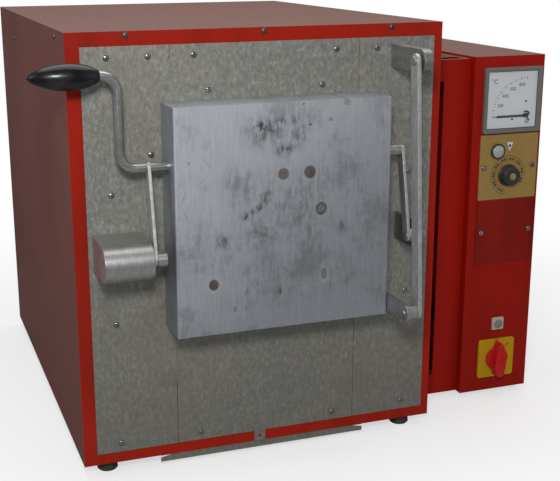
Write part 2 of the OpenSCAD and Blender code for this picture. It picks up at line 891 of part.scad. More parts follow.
module door_lug() {
    back = 8;
    bolt_r = 4;
    bolt_head = 2;
    head_x = guide_r_x + side_gap;
    color(steel_grey) in_place() {
        along_x(door_r, door_r + lug_t) {
            translate([-lug_y, lug_z]) circle(lug_r);
            rect(-lug_y, -back, lug_z - lug_r, lug_z + lug_r);
        }
        rod_x(boss_r, door_r + lug_t, guide_x - side_gap, -lug_y, lug_z);
        rod_x(guide_pin_r, guide_x - side_gap - 1, head_x + pin_head_t, -lug_y, lug_z);
        rod_x(guide_pin_r + pin_step, head_x, head_x + pin_head_t, -lug_y, lug_z);
        for (y = [20, 48]) rod_x(bolt_r, door_r + lug_t, door_r + lug_t + bolt_head, -y, lug_z);
    }
}

// Guide arm

module guide_arm() {
    reach = norm([lug_y - guide_y, guide_z - lug_z]);
    lean = atan2(guide_y - lug_y, guide_z - lug_z);
    color(steel_grey) in_place() difference() {
        along_x(guide_x, guide_r_x) translate([-lug_y, lug_z]) rotate(lean) {
            translate([-guide_w / 2, 0]) square([guide_w, reach]);
            circle(guide_w / 2);
            translate([0, reach]) circle(guide_w / 2);
        }
        rod_x(guide_pin_r + run_gap, guide_x - 1, guide_r_x + 1, -lug_y, lug_z);
        rod_x(guide_pin_r + fit_gap, guide_x - 1, guide_r_x + 1, -guide_y, guide_z);
    }
}

module guide_pin() {
    color(steel_grey) in_place() {
        rod_x(guide_pin_r, guide_x - 1, guide_block_x - open_gap, -guide_y, guide_z);
        rod_x(guide_pin_r + pin_step, guide_x - guide_head_t, guide_x, -guide_y, guide_z);
    }
}

// Control box

module control_box() {
    color(box_red) in_place() {
        difference() {
            along_y(box_y + sheet_t, box_y + box_d - sheet_t) difference() {
                rect(box_x, box_r, box_low, box_top);
                rect(box_x + sheet_t, box_r - sheet_t, box_low + sheet_t, box_top - sheet_t);
            }
            wiring_hole(box_x - 1, box_x + sheet_t + 1);
        }
    }
}

module control_front() {
    cut = meter_body + 2 * fit_gap;
    color(box_red) in_place() difference() {
        along_y(box_y, box_y + sheet_t) difference() {
            rect(box_x, box_r, box_low, box_top);
            translate([meter_x, meter_z]) square(cut, center = true);
        }
        for (z = [knob_z, switch_z])
            rod_y(switch_hub_r + 1, box_y - 1, box_y + sheet_t + 1, z == knob_z ? knob_x : switch_x, z);
        rod_y(lamp_hole_r, box_y - 1, box_y + sheet_t + 1, switch_x, square_lamp_z);
        rod_y(lamp_hole_r, box_y - 1, box_y + sheet_t + 1, lamp_x, lamp_z);
    }
}

module control_rear() {
    color(box_red) in_place() difference() {
        along_y(box_y + box_d - sheet_t, box_y + box_d) rect(box_x, box_r, box_low, box_top);
        rod_y(gland_tube_r + fit_gap, box_y + box_d - 3, box_y + box_d + 1, gland_x, gland_z);
    }
}

// The neck is a folded cover with a tall slot in front and a slotted top
module box_neck() {
    slot_low = box_low + slot_rise;
    edge = 8;
    grille_edge = 10;
    grille_pitch = 9;
    grille_w = 4;
    color(box_red) in_place() difference() {
        block([half_w, neck_y, box_low], [box_x, neck_y + neck_d, neck_top]);
        block([half_w - 1, neck_y + sheet_t, box_low + sheet_t],
            [box_x + 1, neck_y + neck_d - sheet_t, neck_top - sheet_t]);
        block([half_w + edge, neck_y - 1, slot_low],
            [half_w + edge + slot_w, neck_y + sheet_t + 1, slot_low + slot_h]);
        for (k = [0:grille_count - 1]) let (y = neck_y + edge + k * grille_pitch)
            block([half_w + grille_edge, y, neck_top - sheet_t - 1],
                [box_x - edge, y + grille_w, neck_top + 1]);
    }
}

module meter_bezel() {
    inner = meter_body - 2;
    color(black_plastic) in_place() along_y(box_y - meter_proud, box_y) difference() {
        round_square(meter_x, meter_z, meter_size, 3);
        translate([meter_x, meter_z]) square(inner, center = true);
    }
}

module meter_housing() {
    color(black_plastic) in_place() {
        difference() {
            along_y(box_y, box_y + meter_d)
                translate([meter_x, meter_z]) square(meter_body, center = true);
            along_y(box_y - 1, box_y + meter_cavity_d)
                translate([meter_x, meter_z]) square(meter_body - 2 * housing_wall, center = true);
        }
        rod_y(post_r, post_y, box_y + meter_cavity_d + 1, pivot_x, pivot_z);
    }
}

module meter_dial() {
    back = box_y + meter_cavity_d;
    color([0.92, 0.92, 0.88]) in_place() difference() {
        along_y(back - dial_t, back)
            translate([meter_x, meter_z]) square(meter_body - 2 * housing_wall - 2 * fit_gap, center = true);
        rod_y(post_r + fit_gap, back - dial_t - 1, back + 1, pivot_x, pivot_z);
    }
}

module meter_glass() {
    size = meter_body - 2 - 2 * fit_gap;
    color([0.8, 0.85, 0.88, 0.35]) in_place() along_y(glass_y, glass_y + glass_t)
        translate([meter_x, meter_z]) square(size, center = true);
}

module meter_pointer() {
    hub_r = 5;
    hub_l = 3;
    tail = 12;
    tail_half = 2;
    half = 1.6;
    shoulder = pointer_l * 0.7;
    y0 = pointer_y;
    color([0.1, 0.1, 0.1]) in_place() difference() {
        translate([pivot_x, 0, pivot_z]) {
            rod_y(hub_r, y0 - hub_l / 6, y0 + hub_l * 5 / 6, 0, 0);
            along_y(y0, y0 + 1) polygon([[tail, -tail_half], [tail, tail_half], [-shoulder, half],
                [-pointer_l, 0], [-shoulder, -half]]);
        }
        rod_y(post_r + run_gap, y0 - 2, y0 + hub_l + 1, pivot_x, pivot_z);
    }
}

module plate_screws(z) {
    for (sx = [-1, 1]) screw_front(plate_x + sx * plate_size * 0.42, box_y - plate_t, z, 0);
}

module square_plate(z) {
    along_y(box_y - plate_t, box_y) round_square(plate_x, z, plate_size, 2);
}

module regulator_plate() {
    color([0.72, 0.6, 0.4]) in_place() {
        difference() {
            square_plate(regulator_z);
            rod_y(spindle_r + 5, box_y - plate_t - 1, box_y + 1, knob_x, knob_z);
            rod_y(lamp_hole_r, box_y - plate_t - 1, box_y + 1, lamp_x, lamp_z);
        }
    }
}

module regulator_body() {
    color(black_plastic) in_place() {
        along_y(box_y + sheet_t, box_y + body_d) round_square(knob_x, knob_z, regulator_size, 4);
        rod_y(spindle_r, box_y - knob_spindle, box_y + sheet_t + 1, knob_x, knob_z);
    }
}

module regulator_knob() {
    foot = box_y - plate_t - side_gap;
    top = foot - knob_h;
    flute_count = 12;
    flute_r = 1.6;
    color(black_plastic) in_place() difference() {
        translate([knob_x, foot, knob_z]) rotate([90, 0, 0]) rotate_extrude()
            polygon([[0, 0], [knob_r + 1, 0], [knob_r + 1, 2], [knob_r - 1, 4],
                [knob_r - 2, knob_h - 2], [knob_r - 4, knob_h], [0, knob_h]]);
        rod_y(spindle_r + run_gap, box_y - knob_spindle - run_gap, foot + 1, knob_x, knob_z);
        for (k = [0:flute_count - 1]) translate([knob_x, 0, knob_z])
            rotate([0, k * 360 / flute_count, 0]) rod_y(flute_r, top - 1, foot - 4, 0, knob_r - 0.6);
    }
}

module pilot_lamps() {
    size = square_lamp_size;
    proud = 5;
    color([0.6, 0.62, 0.58]) in_place() {
        translate([lamp_x, box_y - plate_t, lamp_z]) rotate([90, 0, 0]) rotate_extrude()
            polygon([[0, 0], [lamp_r, 0], [lamp_r, 2.5], [lamp_r - 2, 4.5], [0, 5.5]]);
        rod_y(lamp_stem_r, box_y - plate_t, box_y + lamp_d, lamp_x, lamp_z);
        along_y(box_y - proud, box_y) round_square(switch_x, square_lamp_z, size, 2);
        rod_y(size * 0.36, box_y - proud - 2, box_y - proud + eps, switch_x, square_lamp_z);
        rod_y(lamp_stem_r, box_y - 1, box_y + lamp_d, switch_x, square_lamp_z);
    }
}

module blank_plate() {
    color(box_red) in_place() square_plate(blank_z);
}

module switch_body() {
    color([0.85, 0.68, 0.1]) in_place() {
        along_y(box_y - switch_plate_t, box_y) round_square(switch_x, switch_z, switch_size, 4);
        rod_y(switch_hub_r, box_y - 1, box_y + sheet_t + 2, switch_x, switch_z);
        along_y(box_y + sheet_t, box_y + switch_body_d)
            round_square(switch_x, switch_z, switch_body_size, 3);
        rod_y(spindle_r, box_y - switch_spindle, box_y, switch_x, switch_z);
    }
}

// The handle has a round skirt, a waisted grip and a pointed end that shows the setting
module switch_handle() {
    foot = box_y - switch_plate_t - side_gap;
    half = switch_handle_l / 2;
    wide = switch_handle_w / 2;
    color([0.75, 0.08, 0.05]) in_place() difference() {
        union() {
            rod_y(wide, foot - 4, foot, switch_x, switch_z);
            along_y(foot - switch_handle_h, foot) translate([switch_x, switch_z])
                polygon([[0, half], [5, half - 5], [8, half * 0.3], [9, -half * 0.3], [6, -half + 3],
                    [0, -half], [-6, -half + 3], [-9, -half * 0.3], [-8, half * 0.3],
                    [-5, half - 5]]);
        }
        rod_y(spindle_r + run_gap, box_y - switch_spindle - run_gap, foot + 1, switch_x, switch_z);
    }
}

// A relay and a row of terminals on the inner wall of the control box
module contactor() {
    relay = [45, 80, 70];
    relay_at = [0, 200, 236];
    rail = [30, 140, 25];
    rail_at = [0, 180, 326];
    color(black_plastic) in_place() translate([box_x + sheet_t, box_y, box_low]) {
        translate(relay_at) cube(relay);
        translate(rail_at) cube(rail);
    }
}

module cable_gland() {
    back = box_y + box_d;
    nut = 4;
    tail_l = 18;
    hex_l = 8;
    color(black_plastic) in_place() difference() {
        union() {
            rod_y(gland_tube_r, back - sheet_t - nut, back + tail_l, gland_x, gland_z);
            translate([gland_x, back + hex_l, gland_z]) rotate([90, 0, 0])
                cylinder(r = gland_tube_r + 3, h = hex_l, $fn = 6);
            rod_y(gland_tube_r + 2, back - sheet_t - nut, back - sheet_t, gland_x, gland_z);
        }
        rod_y(gland_r, back - sheet_t - nut - 1, back + tail_l + 1, gland_x, gland_z);
    }
}

left_side();
right_side();
top_cover();
base_plate();
rear_cover();
front_frame();
front_panel_left();
front_panel_centre();
front_panel_right();
front_tab();
panel_screws();
frame_screws();
feet();
under_plate();
support_frame();
floor_boards();
side_boards();
roof_boards();
rear_board();
muffle_floor();
muffle_sides();
muffle_roof();
muffle_back();
mouth_collar();
hearth_plate();
heating_elements();
element_terminals();
thermocouple();
lever_bearing();
lever_bracket();
guide_bracket();
lever_rod();
lever_grip();
lever_arm_left();
lever_arm_right();
lever_pins();
door_shell();
door_filling();
door_pivot_tube();
door_lug();
guide_arm();
guide_pin();
control_box();
control_front();
control_rear();
box_neck();
meter_bezel();
meter_housing();
meter_dial();
meter_glass();
meter_pointer();
regulator_plate();
regulator_body();
regulator_knob();
pilot_lamps();
blank_plate();
switch_body();
switch_handle();
contactor();
cable_gland();
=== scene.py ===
"""Jewellery kiln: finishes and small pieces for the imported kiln, laid out as a Blender add-on."""

import json
import math
import random

import bmesh
import bpy
from bpy.props import FloatProperty, FloatVectorProperty, IntProperty, PointerProperty
from mathutils import Matrix, Vector

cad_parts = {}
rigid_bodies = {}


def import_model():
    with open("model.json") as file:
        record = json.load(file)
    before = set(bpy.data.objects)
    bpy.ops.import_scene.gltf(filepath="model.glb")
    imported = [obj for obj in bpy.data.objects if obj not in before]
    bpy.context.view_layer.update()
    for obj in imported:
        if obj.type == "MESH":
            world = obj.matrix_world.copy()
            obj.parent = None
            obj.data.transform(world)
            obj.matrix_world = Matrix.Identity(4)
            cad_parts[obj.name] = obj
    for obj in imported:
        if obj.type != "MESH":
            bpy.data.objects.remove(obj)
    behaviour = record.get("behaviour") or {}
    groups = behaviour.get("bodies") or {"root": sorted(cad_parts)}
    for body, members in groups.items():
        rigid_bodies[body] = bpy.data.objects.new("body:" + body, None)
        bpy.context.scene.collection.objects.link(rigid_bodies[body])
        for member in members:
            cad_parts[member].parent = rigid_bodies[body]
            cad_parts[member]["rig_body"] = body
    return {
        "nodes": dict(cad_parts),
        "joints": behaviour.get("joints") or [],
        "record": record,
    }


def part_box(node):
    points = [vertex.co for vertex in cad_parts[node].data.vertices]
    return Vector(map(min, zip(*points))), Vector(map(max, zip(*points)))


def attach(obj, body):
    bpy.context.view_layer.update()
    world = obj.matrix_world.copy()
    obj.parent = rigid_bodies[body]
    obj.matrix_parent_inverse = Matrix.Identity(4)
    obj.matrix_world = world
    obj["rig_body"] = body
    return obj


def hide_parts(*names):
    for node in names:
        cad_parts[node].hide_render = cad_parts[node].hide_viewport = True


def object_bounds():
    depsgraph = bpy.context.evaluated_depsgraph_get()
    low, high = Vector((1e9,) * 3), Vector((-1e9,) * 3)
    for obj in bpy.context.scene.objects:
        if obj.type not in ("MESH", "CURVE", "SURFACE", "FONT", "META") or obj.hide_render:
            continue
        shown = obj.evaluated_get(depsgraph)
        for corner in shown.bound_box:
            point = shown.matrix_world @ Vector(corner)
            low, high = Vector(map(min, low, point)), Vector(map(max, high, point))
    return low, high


bl_info = {
    "name": "Jewellery kiln",
    "version": (1, 0, 0),
    "blender": (4, 5, 0),
    "location": "View3D > Sidebar > Kiln",
    "description": "Finishes and small pieces of a box kiln with a lever door",
    "category": "Object",
}

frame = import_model()
CAD_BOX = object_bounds()
MM = 0.001


def low(node):
    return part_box(node)[0]


def high(node):
    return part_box(node)[1]


def middle(node):
    return (low(node) + high(node)) / 2


# Places that the pieces are worked out from
PANEL_Y = low("front_panel_centre").y
CASE_X = (low("front_frame").x + high("front_frame").x) / 2
CASE_Z = low("front_frame").z
DOOR_LOW = low("door_shell")
DOOR_HIGH = high("door_shell")
BOX_Y = low("control_front").y


def here(x, y, z):
    """A place measured in millimetres from the middle of the case, its front sheets and its underside."""
    return Vector((CASE_X + x * MM, PANEL_Y + y * MM, CASE_Z + z * MM))


# Shader maths


class Value:
    """A shader socket that can be added, multiplied and compared as a number."""

    def __init__(self, tree, socket):
        self.tree = tree
        self.socket = socket

    def _math(self, operation, *values):
        made = self.tree.node("ShaderNodeMath", {"operation": operation}, dict(enumerate(values)))
        return Value(self.tree, made.outputs[0])

    def __add__(self, other):
        return self._math("ADD", self, other)

    def __sub__(self, other):
        return self._math("SUBTRACT", self, other)

    def __rsub__(self, other):
        return self._math("SUBTRACT", other, self)

    def __mul__(self, other):
        return self._math("MULTIPLY", self, other)

    __radd__ = __add__
    __rmul__ = __mul__

    def most(self, other):
        return self._math("MAXIMUM", self, other)

    def least(self, other):
        return self._math("MINIMUM", self, other)


class Finish:
    """One material and the nodes that its function adds to it."""

    def __init__(self, name):
        self.material = bpy.data.materials.new(name)
        self.material.use_nodes = True
        self.links = self.material.node_tree.links
        self.nodes = self.material.node_tree.nodes
        self.nodes.clear()
        self.shader = self.node("ShaderNodeBsdfPrincipled")
        output = self.node("ShaderNodeOutputMaterial")
        self.links.new(self.shader.outputs[0], output.inputs[0])
        self.place = Value(self, self.node("ShaderNodeTexCoord").outputs["Object"])

    def node(self, kind, settings=None, values=None):
        """Adds a node, then its settings, and last the values or links of its sockets."""
        made = self.nodes.new(kind)
        for name, value in (settings or {}).items():
            if name == "stops":
                ramp = made.color_ramp
                while len(ramp.elements) < len(value):
                    ramp.elements.new(0.5)
                for element, (position, color) in zip(ramp.elements, value):
                    element.position = position
                    element.color = (*color, 1) if len(color) == 3 else color
            else:
                setattr(made, name, value)
        for socket, value in (values or {}).items():
            if isinstance(value, Value):
                self.links.new(value.socket, made.inputs[socket])
            elif value is not None:
                made.inputs[socket].default_value = value
        return made

    def moved(self, offset=(0, 0, 0), scale=(1, 1, 1), turn=(0, 0, 0)):
        made = self.node("ShaderNodeMapping", None,
                         {"Vector": self.place, "Location": offset, "Rotation": turn, "Scale": scale})
        return Value(self, made.outputs[0])

    def noise(self, scale, detail=4, rough=0.55, vector=None, distortion=0.0):
        made = self.node("ShaderNodeTexNoise", None,
                         {"Vector": vector or self.place, "Scale": scale, "Detail": detail,
                          "Roughness": rough, "Distortion": distortion})
        return Value(self, made.outputs["Fac"])

    def cells(self, scale, vector=None, feature="F1"):
        made = self.node("ShaderNodeTexVoronoi", {"feature": feature},
                         {"Vector": vector or self.place, "Scale": scale})
        return Value(self, made.outputs["Distance"])

    def axis(self, name, vector=None):
        made = self.node("ShaderNodeSeparateXYZ", None, {0: vector or self.place})
        return Value(self, made.outputs[name])

    def step(self, value, start, end):
        """0 below start and 1 above end, with a smooth way between."""
        made = self.node("ShaderNodeMapRange", {"interpolation_type": "SMOOTHSTEP"},
                         {"Value": value, "From Min": start, "From Max": end})
        return Value(self, made.outputs[0])

    def mix(self, amount, first, second):
        made = self.node("ShaderNodeMix", {"data_type": "RGBA"}, {"Factor": amount})
        for socket, value in ((made.inputs[6], first), (made.inputs[7], second)):
            if isinstance(value, Value):
                self.links.new(value.socket, socket)
            else:
                socket.default_value = (*value[:3], 1)
        return Value(self, made.outputs[2])

    def blob(self, x, z, across, high, turn=0.0, inner=0.2):
        """1 at a place on the front, fading to 0 at an ellipse with these half sizes in mm."""
        made = self.node("ShaderNodeMapping", {"vector_type": "TEXTURE"},
                         {"Vector": self.place, "Location": tuple(here(x, 0, z)),
                          "Rotation": (0, math.radians(turn), 0),
                          "Scale": (across * MM, 1000, high * MM)})
        away = self.node("ShaderNodeVectorMath", {"operation": "LENGTH"},
                         {0: Value(self, made.outputs[0])})
        return 1 - self.step(Value(self, away.outputs["Value"]), inner, 1.0)

    def facing(self, name, sign=1):
        """1 on the faces that point along an axis."""
        coordinates = self.node("ShaderNodeTexCoord")
        parts = self.node("ShaderNodeSeparateXYZ", None, {0: Value(self, coordinates.outputs["Normal"])})
        return self.step(Value(self, parts.outputs[name]) * sign, 0.6, 0.85)

    def give(self, color=None, rough=None, metal=None, height=None, bump=0.2, depth=0.001, **fixed):
        """Puts values or links on the shader's sockets, and a height on its bump."""
        for socket, value in (("Base Color", color), ("Roughness", rough), ("Metallic", metal)):
            if isinstance(value, Value):
                self.links.new(value.socket, self.shader.inputs[socket])
            elif value is not None:
                if socket == "Base Color":
                    value = (*value[:3], 1)
                self.shader.inputs[socket].default_value = value
        for socket, value in fixed.items():
            self.shader.inputs[socket.replace("_", " ")].default_value = value
        if height is not None:
            made = self.node("ShaderNodeBump", None,
                             {"Strength": bump, "Distance": depth, "Height": height})
            self.links.new(made.outputs[0], self.shader.inputs["Normal"])
        return self.material


def shade(color, factor):
    return tuple(min(1.0, c * factor) for c in color[:3])


def enamel(name, color, dirt, dust, rough=0.36):
    """Stove enamel on sheet: small chips, rubbed stains, a slight orange peel, and a painted sheen on the
    upward faces.
    """
    f = Finish(name)
    cloud = f.noise(4.5, 5, 0.6)
    streak = f.noise(9, 4, 0.6, f.moved(scale=(3.0, 3.0, 0.35)))
    fine = f.noise(260, 2, 0.5)
    chips = f.step(f.noise(95, 3, 0.6), 0.745, 0.76)
    worn = f.step(cloud * 0.6 + streak * 0.4, 0.42, 0.68)
    paint = f.mix(worn, shade(color, 1.1), shade(color, 0.78))
    paint = f.mix(f.step(streak, 0.6, 0.82) * 0.35, paint, dirt)
    paint = f.mix(chips * 0.6, paint, shade(dirt, 0.7))
    # Painted sheen: the upward faces are mixed towards a brown sheen colour.
    paint = f.mix(f.facing("Z") * (0.75 + cloud * 0.4), paint, dust)
    return f.give(color=paint, rough=rough + worn * 0.12 + chips * 0.25, metal=0.0,
                  height=fine * 0.3 + (1 - chips) * 0.4, bump=0.1, depth=0.0004,
                  Specular_IOR_Level=0.14)


def dull_enamel(name, color, dirt, dust):
    """The top and side sheets: the same enamel gone dull and coloured brown as a painted sheen, with more
    painted sheen on the upward faces and painted shade towards the bottom.
    """
    f = Finish(name)
    cloud = f.noise(3.2, 5, 0.6)
    scuff = f.step(f.noise(16, 5, 0.65, f.moved(scale=(1, 0.35, 1))), 0.5, 0.78)
    grey = f.step(f.noise(120, 3, 0.6), 0.55, 0.8)
    tone = f.mix(f.step(cloud, 0.35, 0.7), shade(color, 1.08), shade(color, 0.86))
    # Painted sheen: the upward faces are mixed towards the brown sheen colour.
    tone = f.mix(f.facing("Z") * (0.7 + cloud * 0.4), tone, dust)
    # Painted shade: the sides are darker and redder towards the bottom.
    under = (1 - f.step(f.axis("Z") - CASE_Z, 0.06, 0.45)) * (1 - f.facing("Z"))
    tone = f.mix(under * 0.75, tone, (0.12, 0.024, 0.012))
    tone = f.mix(scuff * 0.25 + grey * 0.1, tone, dirt)
    return f.give(color=tone, rough=0.5 + scuff * 0.15, metal=0.0, height=f.noise(240, 2) + grey,
                  bump=0.08, depth=0.0004, Specular_IOR_Level=0.12)


def stained_sheet(name, color, warm, pale):
    """Aluminised sheet: a mottled grain drawn out a little, heat stains, a few scratches, and painted
    shade towards the bottom.
    """
    f = Finish(name)
    speck = f.noise(520, 3, 0.7)
    grain = f.noise(210, 5, 0.75, f.moved(scale=(1.0, 1.0, 0.55)))
    fleck = f.noise(85, 5, 0.7, f.moved(scale=(1.0, 1.0, 0.6), turn=(0, 0.35, 0)), 0.8)
    cloud = f.noise(6.5, 5, 0.6)
    blotch = f.noise(22, 5, 0.6, distortion=0.6)
    left = 1 - f.step(f.axis("X") - CASE_X, -0.22, -0.15)
    scratches = f.step(f.noise(42, 2, 0.5, f.moved(scale=(16, 1, 0.5), turn=(0, 0.25, 0))), 0.69, 0.73)
    tone = f.mix(f.step(cloud * 0.55 + blotch * 0.45, 0.42, 0.62), color, warm)
    tone = f.mix(left * 0.6, tone, shade(color, 0.97))
    tone = f.mix(f.step(fleck, 0.5, 0.72) * 0.45, tone, pale)
    tone = f.mix(f.step(grain, 0.5, 0.66) * 0.6, tone, pale)
    tone = f.mix((1 - f.step(grain, 0.34, 0.5)) * 0.5, tone, shade(color, 0.5))
    tone = f.mix(f.step(speck, 0.56, 0.72) * 0.25, tone, shade(color, 0.5))
    tone = f.mix(scratches * 0.25, tone, pale)
    # Painted shade: the sheets are darker and warmer towards the bottom, mixed in with the heat stains.
    under = 1 - f.step(f.axis("Z") - CASE_Z, 0.02, 0.36)
    stain = f.step(cloud * 0.5 + blotch * 0.5, 0.5, 0.66)
    tone = f.mix(under * 0.45 + stain * 0.25, tone, shade(warm, 0.45))
    return f.give(color=tone, rough=0.52 + speck * 0.16 - blotch * 0.06, metal=0.4,
                  height=speck * 0.4 + grain * 0.6, bump=0.2, depth=0.0005)


# Marks on the door's front: X, height, half width and half height in mm, turn in degrees, strength
SOOT_MARKS = [
    (-20, 446, 46, 34, 0, 0.62), (-27, 452, 12, 15, 0, 0.95), (8, 458, 30, 12, 0, 0.75),
    (6, 424, 26, 18, 0, 0.7), (24, 440, 22, 30, 0, 0.5), (-31, 349, 26, 9, -38, 0.95),
    (-44, 339, 17, 12, 0, 0.8), (-20, 362, 18, 26, 25, 0.6), (-76, 310, 14, 14, 0, 0.7),
    (-25, 312, 42, 36, 0, 0.42), (86, 318, 14, 20, 0, 0.5), (-44, 392, 14, 12, 0, 0.35),
    (-62, 380, 30, 44, 0, 0.25), (-45, 240, 5, 10, 20, 0.6), (0, 236, 5, 8, 0, 0.6),
    (12, 350, 95, 80, 0, 0.3), (30, 478, 5, 2, -20, 0.95), (40, 452, 3, 2.4, 0, 0.95)]
SCRATCH_MARKS = [
    (-127, 371, 0.7, 15, 18), (-125, 347, 0.6, 12, -26), (11, 262, 0.7, 16, -48),
    (90, 394, 13, 0.5, 3), (-104, 388, 0.5, 12, 52), (20, 240, 15, 0.5, -16), (-96, 410, 0.6, 16, -40)]
RUST_MARKS = [
    (4, 391, 8.4, 8.8, 0.85, 0.25), (40, 391, 9.2, 9.6, 1.0, 0.25), (56, 342, 8.5, 9.2, 0.6, 0.3),
    (-90, 254, 7.5, 8.5, 1.0, 0.8), (61, 254, 5, 9, 0.6, 0.6), (40, 311, 4, 11, 0.35, 0.1),
    (68, 457, 3.4, 3, 0.5, 0.4), (90, 478, 6, 5, 0.35, 0.6), (-62, 219, 3, 5, 0.4, 0.2),
    (-120, 413, 2.5, 2.5, 0.4, 0.1)]


def door_sheet(name, color, soot, rust):
    """The door's bare sheet: brushed up and down, with soot, spots of rust and scratches, a painted light
    gradient, and painted shade on its left side and top.
    """
    f = Finish(name)
    brushed = f.noise(75, 5, 0.75, f.moved(scale=(14, 14, 0.4)))
    cloud = f.noise(9, 5, 0.65)
    smear = f.noise(110, 5, 0.75, f.moved(scale=(1.6, 1.0, 0.4)), 0.4)
    mottle = f.noise(55, 5, 0.7)
    sooty = None
    for x, z, across, high_, turn, strength in SOOT_MARKS:
        mark = f.blob(x, z, across, high_, turn, 0.0) * strength
        sooty = mark if sooty is None else sooty.most(mark)
    scratches = None
    for x, z, across, high_, turn in SCRATCH_MARKS:
        mark = f.blob(x, z, across, high_, turn, 0.4)
        scratches = mark if scratches is None else scratches.most(mark)
    rusty = None
    halos = None
    for x, z, across, high_, strength, pale in RUST_MARKS:
        spot = f.blob(x, z, across, high_, 0, 0.72) * strength
        halo = f.blob(x, z, across * 1.9, high_ * 1.9, 0, 0.4) * pale
        rusty = spot if rusty is None else rusty.most(spot)
        halos = halo if halos is None else halos.most(halo)
    rim = f.blob(56, 342, 8.5, 9.2, 0, 0.9) - f.blob(56, 342, 6, 6.5, 0, 0.6)
    marks = sooty * (0.25 + f.step(smear * 0.5 + mottle * 0.5, 0.43, 0.58) * 1.05)
    faint = f.step(f.noise(13, 5, 0.7) * 0.7 + smear * 0.3, 0.47, 0.66) * 0.4
    across = f.axis("X") - (DOOR_LOW.x + DOOR_HIGH.x) / 2
    rise = f.axis("Z") - (DOOR_LOW.z + DOOR_HIGH.z) / 2
    # Painted light: the front is lighter towards the upper left and darker towards the lower right.
    lit = f.step(rise - across * 0.75 + (cloud - 0.5) * 0.1, -0.17, 0.21)
    tone = f.mix(lit, shade(color, 0.9), shade(color, 1.65))
    tone = f.mix((1 - f.step(brushed, 0.3, 0.62)) * 0.32, tone, shade(color, 0.5))
    tone = f.mix(f.step(brushed, 0.5, 0.75) * 0.3, tone, shade(color, 1.45))
    tone = f.mix(faint, tone, shade(soot, 1.8))
    tone = f.mix(halos * 0.55, tone, shade(color, 1.4))
    # Painted shade: the door's left side and top are darkened.
    tone = f.mix(f.facing("X", -1) * 0.5 + f.facing("Z") * 0.35, tone, shade(color, 0.3))
    tone = f.mix(marks.least(0.92), tone, soot)
    tone = f.mix(scratches * 0.4, tone, shade(soot, 1.6))
    tone = f.mix((rusty * (0.55 + mottle * 0.7)).least(1.0), tone, rust)
    tone = f.mix(rim.most(0.0) * mottle, tone, shade(soot, 0.8))
    return f.give(color=tone, rough=0.44 + brushed * 0.14 + marks * 0.2 + rusty * 0.2, metal=0.5,
                  height=brushed * 0.4 - rusty * 0.5 - scratches * 0.4, bump=0.14, depth=0.0004)


def machined(name, color, along=(1, 1, 1), rough=0.34, stain=(0.20, 0.17, 0.13)):
    """Bare turned or milled steel with tool marks, and a little rust in patches."""
    f = Finish(name)
    marks = f.noise(90, 4, 0.7, f.moved(scale=along))
    cloud = f.noise(30, 5, 0.6)
    spots = f.step(f.noise(140, 4, 0.6), 0.66, 0.76)
    tone = f.mix(f.step(marks, 0.35, 0.7), shade(color, 0.86), shade(color, 1.12))
    tone = f.mix(f.step(cloud, 0.55, 0.8) * 0.4, tone, stain)
    tone = f.mix(spots * 0.3, tone, stain)
    return f.give(color=tone, rough=rough + marks * 0.14 + spots * 0.2, metal=0.92,
                  height=marks, bump=0.12, depth=0.0003)


def moulded(name, color, rough=0.4, grain=300, bump=0.08, coat=0.0, shine=0.5):
    """Moulded plastic or rubber: a fine grain, dust in it and rubbed places."""
    f = Finish(name)
    fine = f.noise(grain, 3, 0.6)
    rub = f.noise(24, 5, 0.6)
    tone = f.mix(f.step(rub, 0.4, 0.75), color, tuple(c * 0.86 + 0.02 for c in color[:3]))
    tone = f.mix(f.step(fine, 0.6, 0.8) * 0.25, tone, tuple(c * 0.8 + 0.05 for c in color[:3]))
    return f.give(color=tone, rough=rough + rub * 0.12, metal=0.0, height=fine, bump=bump,
                  depth=0.0003, Coat_Weight=coat, Coat_Roughness=0.08,
                  Specular_IOR_Level=shine)


def fibre(name, color, scorch):
    """Pressed fibre board: matted strands, crumbly pits and a warm scorch."""
    f = Finish(name)
    mat = f.noise(180, 5, 0.7, distortion=1.0)
    pits = f.step(f.cells(140), 0.0, 0.5)
    cloud = f.noise(12, 4)
    tone = f.mix(f.step(cloud, 0.4, 0.7) * 0.5, color, scorch)
    tone = f.mix(f.step(mat, 0.5, 0.75) * 0.4, tone, shade(color, 0.8))
    return f.give(color=tone, rough=0.9, metal=0.0, height=mat + pits * 0.5, bump=0.5, depth=0.001)


def plated(name, color):
    """Anodised plate with a fine crossways brushing."""
    f = Finish(name)
    brushed = f.noise(160, 3, 0.6, f.moved(scale=(0.3, 1, 8)))
    cloud = f.noise(28, 4)
    tone = f.mix(f.step(brushed, 0.3, 0.7), shade(color, 0.86), shade(color, 1.1))
    tone = f.mix(f.step(cloud, 0.5, 0.8) * 0.4, tone, shade(color, 0.7))
    return f.give(color=tone, rough=0.42 + brushed * 0.1, metal=0.45, height=brushed, bump=0.06,
                  depth=0.0002)


def printed(name, color, rough=0.6):
    """Printing ink, slightly uneven."""
    f = Finish(name)
    blot = f.noise(500, 3)
    return f.give(color=f.mix(blot * 0.3, color, tuple(c * 0.7 + 0.05 for c in color[:3])),
                  rough=rough, metal=0.0)


def glazing(name):
    """Clear glass with a faint smear on it."""
    f = Finish(name)
    smear = f.noise(14, 4)
    return f.give(color=(0.4, 0.42, 0.44), rough=0.03 + f.step(smear, 0.5, 0.8) * 0.08, metal=0.0,
                  Alpha=0.05, Specular_IOR_Level=0.5)


def lens(name, color):
    """A frosted lamp lens with rings moulded inside."""
    f = Finish(name)
    ripple = f.noise(220, 2)
    return f.give(color=f.mix(ripple, shade(color, 0.8), shade(color, 1.2)), rough=0.22 + ripple * 0.1,
                  metal=0.0, height=ripple, bump=0.1, depth=0.0003, Coat_Weight=0.6)


# Modelling


